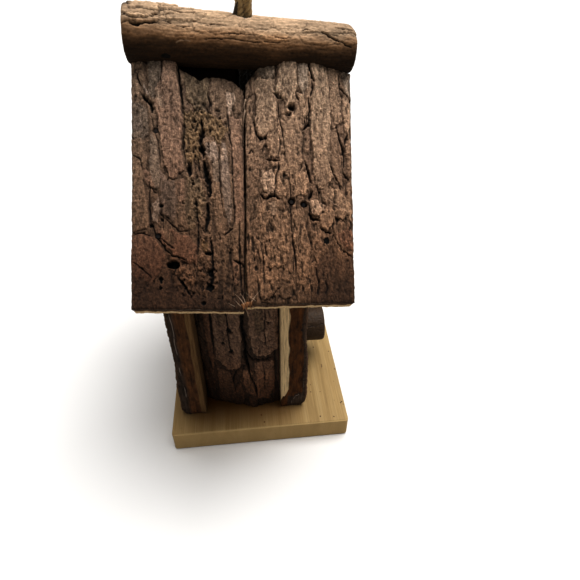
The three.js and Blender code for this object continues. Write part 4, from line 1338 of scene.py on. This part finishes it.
def gable_world(side, face, outwards):
    def world(u, v, n):
        u, v, n = np.broadcast_arrays(u, v, n)
        return np.stack([face + outwards * n, side * u, WALL_TOP - v], -1)
    return world


def gable_crown(rise):
    """Crowned across, with the corner edge proud and swelling towards the foot, which is rounded off."""
    def crown(a, b):
        corner = smooth(a, 0.72, 0.97) * (0.9 + 1.5 * smooth(b, 0.62, 0.82))
        return rise * (1 - (2 * a - 1) ** 2) - BARK_SINK + corner - 2.2 * smooth(b, 0.955, 1.0) ** 2
    return crown


def side_place(a, b, n):
    a, b, n = np.broadcast_arrays(a, b, np.asarray(n, float))
    u = blend(SIDE_FROM, SIDE_TO, a)
    y = SIDE_FACE + n
    return u, blend(WALL_TOP - under_roof(u, y), WALL_TOP - BASE_TOP, b)


def side_crown(a, b):
    u = blend(SIDE_FROM, SIDE_TO, a)
    return np.interp(u, *SIDE_CROWNS) - BARK_SINK - 1.2 * (1 - smooth(a, 0, 0.16))


def side_world(side):
    def world(u, v, n):
        u, v, n = np.broadcast_arrays(u, v, n)
        return np.stack([u, side * (SIDE_FACE + n), WALL_TOP - v], -1)
    return world


def wall_line(points):
    """(X, Z) points of a wall as (u, v)."""
    return [(x, WALL_TOP - z) for x, z in points]


def near_side_bark(u, v):
    """The wall under the near eave: grey plates with a long split between them."""
    bark = Bark(u, v, 67, ("umber", "umber", "brown"), cracked=0.8)
    bark.plate("red", 0.4, wall_line([(-29.5, 112), (-25.5, 112), (-25.5, 60), (-27, 40), (-29, 60)]),
               rough=0.1)
    bark.plate("plum", 0.9, wall_line([(-24.5, 116), (-8.5, 112), (-7, 92), (-9, 70), (-10, 52), (-17, 48),
                                       (-24.5, 56)]), rough=0.14)
    bark.plate("grey", 0.35, wall_line([(-22, 104), (-17, 106), (-16, 88), (-21, 84)]), rough=0.14)
    bark.plate("slate", 0.6, wall_line([(-25, 50), (-17, 46), (-14, 30), (-17, 17), (-25, 18)]), rough=0.2)
    bark.plate("plum", 1.0, wall_line([(-4, 112), (6, 114), (12.5, 106), (12.5, 66), (6, 61), (-2, 63),
                                       (-4.4, 80)]),
               rough=0.12)
    bark.plate("grey", 0.35, wall_line([(-2, 100), (4, 101), (5, 82), (0, 80)]), rough=0.16)
    bark.plate("plum", 0.8, wall_line([(-2, 58), (9.6, 56), (10, 36), (7, 21), (-1, 23), (-2.4, 40)]),
               rough=0.14)
    bark.plate("plum", 0.7, wall_line([(-9.5, 50), (-4, 50), (-2.5, 36), (-2, 27), (-8, 28), (-9.5, 38)]),
               rough=0.14)
    bark.plate("grey", 0.35, wall_line([(-8, 43), (-3.8, 43), (-3, 31), (-7, 31)]), rough=0.14)
    for width, depth, points in (
        (1.6, 3.2, [(-8, 110), (-7.4, 96), (-8, 84), (-6.6, 72), (-6.8, 60), (-5.4, 50)]),
        (1.0, 2.4, [(-6, 52), (-4.6, 44), (-2.2, 36), (-1.6, 26)]),
        (0.9, 2.2, [(-6.8, 66), (-3, 60), (2, 58), (9, 58.6)]),
        (0.8, 2.0, [(-9, 54), (-13, 48), (-15.6, 40), (-14.6, 30)]),
        (0.7, 1.6, [(-16.6, 100), (-15.6, 90), (-16, 76), (-15, 64)]),
        (0.5, 1.2, [(4.6, 106), (5.4, 94), (4.4, 80), (5.6, 68)]),
        (0.5, 1.2, [(3, 54), (3.8, 44), (3, 32)]),
        (0.9, 1.8, [(-25.2, 116), (-25, 90), (-25.6, 60)]),
        (0.4, 1.0, [(-22, 82), (-18, 79), (-14, 76)]),
        (0.4, 1.0, [(0.5, 76), (4, 73), (10, 74)]),
        (0.4, 1.0, [(-20, 64), (-17, 61), (-12, 60)]),
    ):
        bark.fissure(width, depth, wall_line(points))
    for x, z, across, along in ((-15, 82, 1.7, 2.4), (-15, 65, 1.5, 2.0), (7, 88, 1.0, 1.5),
                                (-19, 71, 0.9, 1.3)):
        bark.pit(x, WALL_TOP - z, across, along, 1.6, ragged=0.8)
    # Painted shade: darker towards the board, and redder and darker towards the foot, over the walls' darker
    # tone.
    bark.shade(0.6, wall_line([(-40, 34), (20, 34), (20, -20), (-40, -20)]), soft=34)
    bark.color *= WALL_TONE_AND_SHADE * blend(1.0, np.array([1.1, 0.78, 0.55]), smooth(v, 125, 178)[..., None])
    return bark.settled(3, 1.5)


def wall_bark(seed, tones=("umber", "dark", "brown"), plates=26):
    def paint(u, v):
        rng = np.random.default_rng(seed)
        bark = Bark(u, v, seed, tones, cracked=0.8)
        scattered(bark, rng, (u.min(), u.max()), (v.min(), v.max()), plates, 20,
                  ("slate", "brown", "red", "grey", "tan", "slate", "dark"))
        # Painted shade along the foot of the wall, by the board.
        bark.shade(0.4, [(-60, 176), (60, 176), (60, 210), (-60, 210)], soft=16)
        bark.color *= WALL_TONE_AND_SHADE
        return bark.settled(3)
    return paint


def make_walls():
    for side, label in ((-1, "near"), (1, "far")):
        for end, face, sawn, rise, outwards, layers in (
            ("back", BACK_FACE, BACK_SAWN, BACK_CROWN, -1, BACK_LAYERS),
            ("front", FRONT_FACE, FRONT_SAWN, FRONT_CROWN, 1, FRONT_LAYERS),
        ):
            thick = -abs(sawn - face)
            slab = Slab(f"{end}_wall_{label}", gable_place(side, face, outwards, end == "front"),
                        gable_world(side, face, outwards), thick, 20, layers, 300 + side,
                        curl=0.42 if end == "front" else 0.0)
            slab.build(0.5, wall_bark(500 + 10 * side + len(end)), gable_crown(rise),
                       f"{end}_slab_{label}", SLAB_SURFACES[end])
        slab = Slab(f"side_wall_{label}", side_place, side_world(side), SIDE_SAWN - SIDE_FACE, 8, SIDE_LAYERS,
                    320 + side)
        slab.build(0.4, near_side_bark if side < 0 else wall_bark(613), side_crown,
                   f"side_slab_{label}", SLAB_SURFACES["side"])


make_walls()

# ---------------------------------------------------------------------------
# Round pieces: the ridge log and the perch. w runs round the bark and l along it.
# ---------------------------------------------------------------------------

LOG_BELLY = 0.1  # extra radius at mid-length
LOG_MEAN_RADIUS = 10.95
# Partly the bark's own paler weathered top, partly painted light above and painted shade below.
# How light the log's bark is by degrees round it: below is -90, the near side 0 and the top 90.
LOG_GAIN = ([-85, -45, -15, 4, 15, 28, 52, 150, 175, 200, 265],
            [0.07, 0.09, 0.15, 0.36, 0.95, 1.70, 2.05, 2.05, 1.4, 0.6, 0.2])
# Darker towards both ends: painted shade.
LOG_ENDS = ([0, 14, 30, 70, 84, 101], [0.68, 0.76, 1.04, 0.97, 0.76, 0.66])  # and along it
LOG_PALE_DROP = ([0, 8, 30, 60, 84, 101], [-2, 0, 4, 5, 1, -2])  # degrees that the pale side comes further down
ROPE_HOLE_RADIUS = 4.2
PERCH_Z, PERCH_RADIUS = 42.4, 11.9
PERCH_FROM, PERCH_TO = 27.6, 46.8


def round_bark(u, v, seed, tones):
    bark = Bark(u, v, seed, tones, cracked=0.0)
    bark.height *= 0.25
    return bark


def log_bark(w, l):
    """Pale above, dark below: weathered bark and painted light and shade, with loose flakes, most of them at
    the back end.
    """
    deg = math.radians(1) * LOG_MEAN_RADIUS
    bark = round_bark(w, l, 83, ("brown", "tan", "tan"))
    height = w / deg + 7 * fbm(w / 5, l / 13, 881) + 3 * noise(w / 1.6, l / 3.4, 882)
    height = height + np.interp(l, *LOG_PALE_DROP)
    # Painted light and shade round the log, over its own paler top: lighter above, darker and warmer below,
    # darker at the ends.
    gain = np.interp(height, *LOG_GAIN) * np.interp(l, *LOG_ENDS)
    warm = np.interp(height, [-60, 12, 46], [0.0, 0.5, 1.0])[..., None]
    bark.color *= gain[..., None] * blend(np.array([1.10, 0.66, 0.22]), np.array([1.0, 1.04, 1.06]), warm)
    threads = fbm(w / 0.8 + 0.8 * noise(w / 4, l / 7, 883), l / 8, 884, 4)
    bark.height += 0.14 * threads
    bark.color *= (1 + 0.22 * threads)[..., None]
    for lift, gain, outline in (
        (0.7, 0.10, [(34, -4), (48, -4), (50, 10), (46, 18), (38, 14), (35, 4)]),
        (1.0, 0.15, [(46, 3), (66, -3), (86, -4), (90, 12), (74, 16), (58, 15), (50, 13), (47, 8)]),
        (0.8, 0.10, [(62, 4), (80, 2), (96, 8), (98, 20), (80, 24), (66, 14)]),
        (0.6, 0.20, [(84, 14), (96, 12), (98, 26), (90, 30), (82, 22)]),
        (0.5, -0.10, [(50, 18), (80, 16), (88, 26), (70, 34), (52, 32), (46, 24)]),
        (0.35, 0.08, [(60, 30), (92, 28), (98, 44), (80, 46), (62, 42)]),
        (0.3, 0.12, [(26, 30), (44, 28), (46, 46), (34, 52), (26, 46)]),
        (0.25, 0.08, [(8, 18), (14, 18), (16, 30), (9, 30)]),
        (0.3, -0.08, [(44, 48), (70, 52), (74, 62), (50, 64), (42, 56)]),
        (0.25, 0.10, [(46, 64), (80, 60), (84, 76), (60, 78), (48, 72)]),
        (0.3, 0.10, [(20, 56), (36, 54), (40, 66), (30, 72), (18, 68)]),
        (0.25, 0.12, [(18, 76), (36, 74), (38, 86), (28, 90), (16, 86)]),
        (0.45, 0.10, [(44, 76), (76, 78), (80, 96), (60, 104), (46, 92)]),
        (0.45, 0.16, [(22, 90), (44, 91), (44, 103), (22, 103)]),
        (0.4, 0.05, [(95, 4), (135, 6), (140, 34), (110, 40), (98, 24)]),
        (0.3, 0.05, [(100, 52), (140, 56), (146, 84), (112, 82), (102, 66)]),
    ):
        bark.flake(lift, [(a * deg, x) for a, x in outline], gain)
    for width, depth, points in (
        (0.8, 1.7, [(33, 3.5), (31, 6), (34, 8.5), (37, 10), (39, 14)]),
        (0.35, 0.8, [(46, 15), (43, 19), (39, 20)]),
        (0.3, 0.7, [(34, 22), (33, 25), (35, 28)]),
        (0.35, 0.8, [(54, 12), (58, 18), (62, 22)]),
        (0.5, 1.0, [(74, 16), (66, 24), (70, 30)]),
        (0.35, 0.8, [(46, 75.5), (50, 77), (47, 79.6)]),
        (0.55, 1.0, [(47, 84), (39, 87), (30, 90), (24, 93.4), (16, 97.6)]),
        (0.35, 0.8, [(60, 90), (58, 95), (60, 100)]),
        (0.3, 0.7, [(28, 62), (24, 66), (26, 70)]),
        (0.3, 0.7, [(40, 34), (44, 38), (42, 44)]),
        (0.3, 0.6, [(12, 34), (16, 44), (13, 55), (16, 66)]),
        (0.3, 0.6, [(24, 40), (28, 48), (26, 58)]),
        (0.4, 0.8, [(110, 20), (118, 30), (114, 44)]),
        (0.4, 0.8, [(96, 62), (104, 74), (100, 88)]),
    ):
        bark.fissure(width, depth, [(a * deg, x) for a, x in points])
    bark.pit(-29 * deg, 17, 1.3, 1.9, 0.4, ragged=0.25)
    bark.scratch("tan", 0.28, [(1 * deg, 21.6), (6 * deg, 23.6), (7 * deg, 26), (5.5 * deg, 28.4)])
    # Painted shade on the top of the log at its back end.
    bark.shade(0.8, [(74 * deg, -1), (100 * deg, -1), (98 * deg, 4), (80 * deg, 4)], soft=2)
    return bark.settled(3, 0.55)


def perch_bark(w, l):
    bark = round_bark(w, l, 97, ("slate", "slate", "grey"))
    bark.height *= 0.5
    bark.color *= np.array([0.29, 0.22, 0.145])
    bark.fissure(0.3, 0.5, [(6, 4), (6.6, 10), (6, 17)])
    bark.fissure(0.3, 0.5, [(-12, 2), (-12.6, 9), (-11.6, 15)])
    return bark.settled(3, 0.6)


def cap_material():
    """Sawn end of a round: growth rings and a few splits, from the piece's own centre."""
    n = Nodes("sawn_end")
    grain = n.attribute("grain").outputs["Vector"]
    away = n.new("ShaderNodeVectorMath", operation="LENGTH")
    n.link(n.stretched(grain, (1, 1, 0)), away.inputs[0])
    wander = n.noise(n.stretched(grain, (0.22, 0.22, 0.0)), detail=3)
    radius = n.math("ADD", away.outputs["Value"], n.remap(wander, 0, 1, -1.4, 1.4))
    rings = n.math("SINE", n.math("MULTIPLY", radius, 7.0))
    sawn = n.noise(n.stretched(grain, (1.4, 9, 0)), detail=4)
    color = n.ramp(n.remap(rings, -1, 1, 0, 1), [(0.0, (0.33, 0.225, 0.125)), (0.6, (0.45, 0.325, 0.195)),
                                                 (1.0, (0.24, 0.155, 0.085))])
    color = n.tinted(color, sawn, [(0.3, (0.72, 0.70, 0.66)), (0.7, (1.15, 1.15, 1.15))])
    pith = n.remap(away.outputs["Value"], 0.5, 1.4, 1.0, 0.0)
    color = n.mix(pith, color, (0.09, 0.05, 0.03, 1))
    n.bump(n.math("ADD", n.math("MULTIPLY", sawn, 0.6), n.math("MULTIPLY", rings, 0.12)), 0.0002, 0.8)
    return n.surface(color, 0.85, 0.25)


def make_round(name, start, finish, radius, paint, steps, surface, caps, bend):
    """A short log from start to finish. radius(l) is its radius and caps the surface of its sawn ends."""
    start, finish = np.asarray(start, float), np.asarray(finish, float)
    length = np.linalg.norm(finish - start)
    axis = (finish - start) / length
    near = np.array([0.0, -1.0, 0.0])
    up = np.cross(near, axis)
    around, along = steps
    angle = np.linspace(-math.pi / 2, 1.5 * math.pi, around + 1)[:-1]
    l = np.linspace(0, length, along)
    angle, l = np.meshgrid(angle, l)
    base = radius(l)
    bark = paint(angle * base.mean(), l)
    edge = np.minimum(l, length - l)
    r = base + bark.height - np.median(bark.height) - 0.9 * np.exp(-(edge / 0.5))
    seam = np.exp(-((angle + math.pi / 2) / 0.12) ** 2) + np.exp(-((1.5 * math.pi - angle) / 0.12) ** 2)
    r = blend(r, base - 0.3, np.clip(seam, 0, 1))
    r = r + bend(angle, l)

    def at(l, r, angle):
        out = (r * np.cos(angle))[..., None] * near + (r * np.sin(angle))[..., None] * up
        return start + l[..., None] * axis + out

    points = [at(l, r, angle).reshape(-1, 3)]
    tones = [bark.color.reshape(-1, 3)]
    grains = [np.stack([angle * base.mean(), l, r], -1).reshape(-1, 3)]
    rows, columns = angle.shape
    faces = grid_faces(rows, columns, wrap=True)
    body_faces = len(faces)
    total = rows * columns
    shrink = [0.89, 0.8, 0.6, 0.4, 0.2, 0.07]  # the rings of an end, the first between bark and wood
    for row in (0, rows - 1):
        previous = [row * columns + c for c in range(columns)]
        level = l[row]
        for share in shrink:
            inner = r[row] * share
            depth = 0.12 * noise(inner * np.cos(angle[row]) / 1.3, inner * np.sin(angle[row]) / 1.3, 640 + row)
            place = level + (depth + (0.12 if share > 0.85 else 0.0)) * (1 if row == 0 else -1)
            points.append(at(place, inner, angle[row]))
            dark = 0.45 if share > 0.85 else 1.0
            tones.append(np.tile(TONES["tan"] * dark, (columns, 1)))
            grains.append(np.stack([inner * np.cos(angle[row]), inner * np.sin(angle[row]), level], -1))
            current = list(range(total, total + columns))
            for c in range(columns):
                d = (c + 1) % columns
                faces.append((previous[c], previous[d], current[d], current[c]))
            previous = current
            total += columns
        faces.append(tuple(previous))
    data = {"tone": np.concatenate(tones), "grain": np.concatenate(grains)}
    piece = make_mesh(name, np.concatenate(points), faces, data)
    piece.data.materials.append(surface)
    piece.data.materials.append(caps)
    indices = np.zeros(len(piece.data.polygons), dtype=np.int32)
    half = (len(faces) - body_faces) // 2
    for end in (0, 1):
        first = body_faces + end * half + columns
        indices[first:body_faces + (end + 1) * half] = 1
    piece.data.polygons.foreach_set("material_index", indices)
    return piece


def bore_through(piece, at_x, radius, low, high, seed):
    """Cut a rough upright hole through a piece."""
    around, along = 40, 30
    angle = np.linspace(0, 2 * math.pi, around + 1)[:-1]
    level = np.linspace(low, high, along)
    angle, level = np.meshgrid(angle, level)
    mouth = 0.7 * smooth(level, high - 9, high - 4)
    r = radius + 0.3 * noise(angle * 2.2, level / 1.5, seed)
    r = r + mouth * (0.6 + noise(angle * 1.6, level * 0, seed + 1))
    points = np.stack([at_x + r * np.cos(angle), r * np.sin(angle), level], -1).reshape(-1, 3)
    faces = grid_faces(along, around, wrap=True)
    faces.append(tuple(range(around)))
    faces.append(tuple(range((along - 1) * around, along * around)))
    tone = np.tile(TONES["tan"], (len(points), 1))
    cutter = make_mesh("bore", points, faces, {"tone": tone, "grain": points})
    for material in piece.data.materials:
        cutter.data.materials.append(material)
    cut = piece.modifiers.new("bore", "BOOLEAN")
    cut.operation = "DIFFERENCE"
    cut.solver = "EXACT"
    cut.object = cutter
    graph = bpy.context.evaluated_depsgraph_get()
    mesh = bpy.data.meshes.new_from_object(piece.evaluated_get(graph), preserve_all_data_layers=True,
                                           depsgraph=graph)
    piece.modifiers.remove(cut)
    piece.data = mesh
    bpy.data.objects.remove(cutter)


def make_rounds():
    caps = cap_material()
    length = float(np.linalg.norm(LOG_FRONT - LOG_BACK))

    def log_radius(l):
        share = l / length
        return blend(LOG_RADII[0], LOG_RADII[1], share) + LOG_BELLY * np.sin(math.pi * share)

    def log_bend(angle, l):
        lumps = 0.22 * noise(angle * 1.1, l / 16, 91)
        corner = -1.6 * np.exp(-((length - l) / 2.2) ** 2) * smooth(np.sin(angle), 0.2, 0.9)
        ruffled = 0.35 * np.exp(-((l - 14) / 9) ** 2) * smooth(np.sin(angle), 0.8, 1.0)
        ruffled = ruffled * (0.6 + noise(l / 1.1, angle * 5, 92))
        return lumps + corner + ruffled - 0.15

    log = make_round("ridge_log_bark", LOG_BACK, LOG_FRONT, log_radius, log_bark, (230, 360),
                     log_material("log_bark"), caps, bend=log_bend)
    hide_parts("ridge_log")
    bore_through(log, ROPE_X, ROPE_HOLE_RADIUS, 198, 242, 930)

    perch = make_round("perch_bark", (PERCH_FROM, 0, PERCH_Z), (PERCH_TO, 0, PERCH_Z),
                       lambda l: np.full(l.shape, PERCH_RADIUS), perch_bark, (200, 60),
                       log_material("perch_bark", (0.5, 0.72), 0.4), caps,
                       bend=lambda angle, l: 0.12 * noise(angle * 1.3, l / 9, 95))
    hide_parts("perch_log")


make_rounds()

# ---------------------------------------------------------------------------
# Frayed bark fibres that hang past the eave, by the seam of the near slope.
# ---------------------------------------------------------------------------

RUST_FROM = 0.4  # the thick ones are rust brown
SPLINTERS = [  # (u, v, n) of the root, then length down the slope, lean along the ridge, thickness
    (-8.5, 114.6, -4.0, 2.6, -0.50, 0.16), (-6.5, 114.8, -3.0, 3.8, -0.60, 0.20),
    (-4.6, 114.6, -4.2, 4.4, 0.45, 0.24), (-2.6, 115.2, -2.4, 3.4, -0.40, 0.18),
    (-1.0, 115.0, -5.0, 5.0, 0.35, 0.34), (0.4, 114.2, -3.0, 4.2, -0.80, 0.16),
    (1.6, 113.4, -3.4, 4.6, 0.70, 0.22), (3.4, 113.6, -5.4, 3.6, -0.55, 0.24),
    (5.0, 113.4, -2.6, 3.2, 0.90, 0.16), (7.4, 113.6, -4.0, 2.6, 0.40, 0.16),
    (-12.0, 114.4, -2.0, 2.0, 0.50, 0.14), (15.0, 113.4, -2.2, 2.0, -0.6, 0.14),
    (-24.0, 114.0, -2.6, 2.2, 0.5, 0.15), (27.0, 113.4, -2.4, 2.0, 0.6, 0.14),
    (1.45, 21.5, -1.2, 5.6, -0.04, 0.26), (1.15, 26.6, -1.2, 6.2, -0.03, 0.26),
    (-1.0, 114.8, 0.6, -5.0, 0.80, 0.16), (-0.6, 114.2, 0.9, -4.4, 0.45, 0.13),
    (1.5, 113.6, 0.9, -5.0, -0.90, 0.13), (4.0, 113.2, 1.0, -4.0, 1.30, 0.13),
    (-2.5, 115.2, 0.4, -2.6, 1.20, 0.14), (-5.5, 115.3, 0.2, -1.6, 1.50, 0.12),
    (-1.9, 114.2, -0.6, 2.6, 0.10, 0.55), (-1.1, 113.8, -1.4, 3.0, -0.20, 0.60),
    (-0.4, 113.6, -2.4, 3.4, 0.15, 0.62), (0.4, 113.4, -1.0, 2.8, -0.10, 0.55),
    (1.0, 113.2, -2.6, 3.0, 0.30, 0.55), (1.8, 113.0, -1.2, 2.2, 0.20, 0.45),
    (0.0, 113.4, 0.2, 2.6, -0.30, 0.50),
]


def make_splinters():
    vertices, faces, tones, grains = [], [], [], []
    rng = np.random.default_rng(19)
    for u, v, n, length, lean, thick in SPLINTERS:
        base = len(vertices)
        droop = rng.uniform(-0.4, 0.2)
        for k, t in enumerate(np.linspace(0, 1, 6)):
            half = thick * (1 - 0.85 * t ** 1.4)
            cu = u + lean * length * t + 0.25 * math.sin(5 * t + u)
            cv = v + length * t
            cn = n + droop * length * t * t
            for du, dn in ((-1, -0.5), (0.1, -0.9), (1, -0.3), (0.7, 0.6), (-0.4, 0.8)):
                vertices.append(roof_point(-1, cu + du * half, cv, cn + dn * half * 0.7))
                pale = 1.0 if v < 100 or length < 0 else 0.15 + 0.5 * t
                tones.append(TONES["rust"] if thick > RUST_FROM else blend(TONES["pink"], TONES["bone"], pale))
                grains.append((cu + du, cv, cn + dn))
        for k in range(5):
            for c in range(5):
                d = (c + 1) % 5
                faces.append((base + 5 * k + c, base + 5 * k + d, base + 5 * k + 5 + d, base + 5 * k + 5 + c))
        faces.append(tuple(range(base, base + 5)))
        faces.append(tuple(range(base + 25, base + 30)))
    fray = make_mesh("eave_fibres", vertices, faces, {"tone": tones, "grain": grains})
    fray.data.materials.append(log_material("eave_fibre"))


make_splinters()

# ---------------------------------------------------------------------------
# Pieces kept from the CAD: the board and the nails.
# ---------------------------------------------------------------------------


def finish_cad_pieces():
    pine = pine_material()
    steel = steel_material()
    for name, thing in nodes.items():
        if name == "base_board":
            surface = pine
        elif "_nail_" in name:
            surface = steel
        else:
            continue
        thing.data.materials.clear()
        thing.data.materials.append(surface)


finish_cad_pieces()

# ---------------------------------------------------------------------------
# Studio: a pale floor, a large soft light overhead and a little fill from three sides.
# ---------------------------------------------------------------------------

FLOOR_BOUNCE = (0.42, 0.38, 0.32)  # what the floor throws back at the object
HOUSE_MIDDLE = Vector((0, 0, 0.12))


def make_floor():
    n = Nodes("studio_floor")
    place = n.new("ShaderNodeTexCoord").outputs["Object"]
    cloud = n.noise(n.stretched(place, (3, 3, 3)), detail=3)
    color = n.ramp(cloud, [(0.3, (0.80, 0.80, 0.80)), (0.7, (0.84, 0.84, 0.84))])
    surface = n.surface(color, 0.9, 0.2)
    dim = n.new("ShaderNodeBsdfDiffuse")
    dim.inputs["Color"].default_value = (*FLOOR_BOUNCE, 1)
    seen = n.new("ShaderNodeLightPath")
    pick = n.new("ShaderNodeMixShader")
    n.link(seen.outputs["Is Camera Ray"], pick.inputs["Fac"])
    n.link(dim.outputs[0], pick.inputs[1])
    n.link(n.shader.outputs[0], pick.inputs[2])
    n.link(pick.outputs[0], n.tree.nodes["Material Output"].inputs["Surface"])
    floor = bmesh.new()
    bmesh.ops.create_grid(floor, x_segments=8, y_segments=8, size=3.0)
    mesh = bpy.data.meshes.new("studio_floor")
    floor.to_mesh(mesh)
    floor.free()
    mesh.materials.append(surface)
    thing = bpy.data.objects.new("studio_floor", mesh)
    bpy.context.scene.collection.objects.link(thing)


def make_fill(name, at, watts):
    """A metre-wide soft light that looks at the middle of the house."""
    data = bpy.data.lights.new(name, "AREA")
    data.shape = "RECTANGLE"
    data.size, data.size_y = 1.0, 1.0
    data.energy = watts
    data.color = (1.0, 0.99, 0.97)
    thing = bpy.data.objects.new(name, data)
    thing.location = at
    thing.rotation_euler = (HOUSE_MIDDLE - Vector(at)).to_track_quat("-Z", "Y").to_euler()
    bpy.context.scene.collection.objects.link(thing)


def make_sun(name, towards, strength, angle, color):
    """A very soft even light, from that direction."""
    data = bpy.data.lights.new(name, "SUN")
    data.energy = strength
    data.angle = math.radians(angle)
    data.color = color
    thing = bpy.data.objects.new(name, data)
    thing.rotation_euler = Vector(towards).to_track_quat("Z", "Y").to_euler()
    bpy.context.scene.collection.objects.link(thing)


def make_world(strength):
    """A dim even surround for the light, and a white one behind everything for the eye."""
    world = bpy.data.worlds.new("studio")
    bpy.context.scene.world = world
    world.use_nodes = True
    tree = world.node_tree
    output = tree.nodes["World Output"]
    glow = tree.nodes["Background"]
    glow.inputs["Color"].default_value = (1.0, 0.98, 0.95, 1)
    glow.inputs["Strength"].default_value = strength
    plain = tree.nodes.new("ShaderNodeBackground")
    plain.inputs["Color"].default_value = (1, 1, 1, 1)
    plain.inputs["Strength"].default_value = 1.0
    seen = tree.nodes.new("ShaderNodeLightPath")
    pick = tree.nodes.new("ShaderNodeMixShader")
    tree.links.new(seen.outputs["Is Camera Ray"], pick.inputs["Fac"])
    tree.links.new(glow.outputs[0], pick.inputs[1])
    tree.links.new(plain.outputs[0], pick.inputs[2])
    tree.links.new(pick.outputs[0], output.inputs["Surface"])


make_floor()
make_world(0.15)
make_sun("overhead", (0.24, 0.08, 1.0), 4.1, 46, (1.0, 0.985, 0.965))
make_fill("front_fill", (-0.3, -1.4, 0.9), 1.6)
make_fill("back_fill", (-1.3, 0.7, 0.6), 4.0)
make_fill("porch_fill", (1.5, 0.3, 0.5), 2.0)
bpy.context.scene.view_settings.view_transform = "Standard"
bpy.context.scene.view_settings.gamma = 0.8
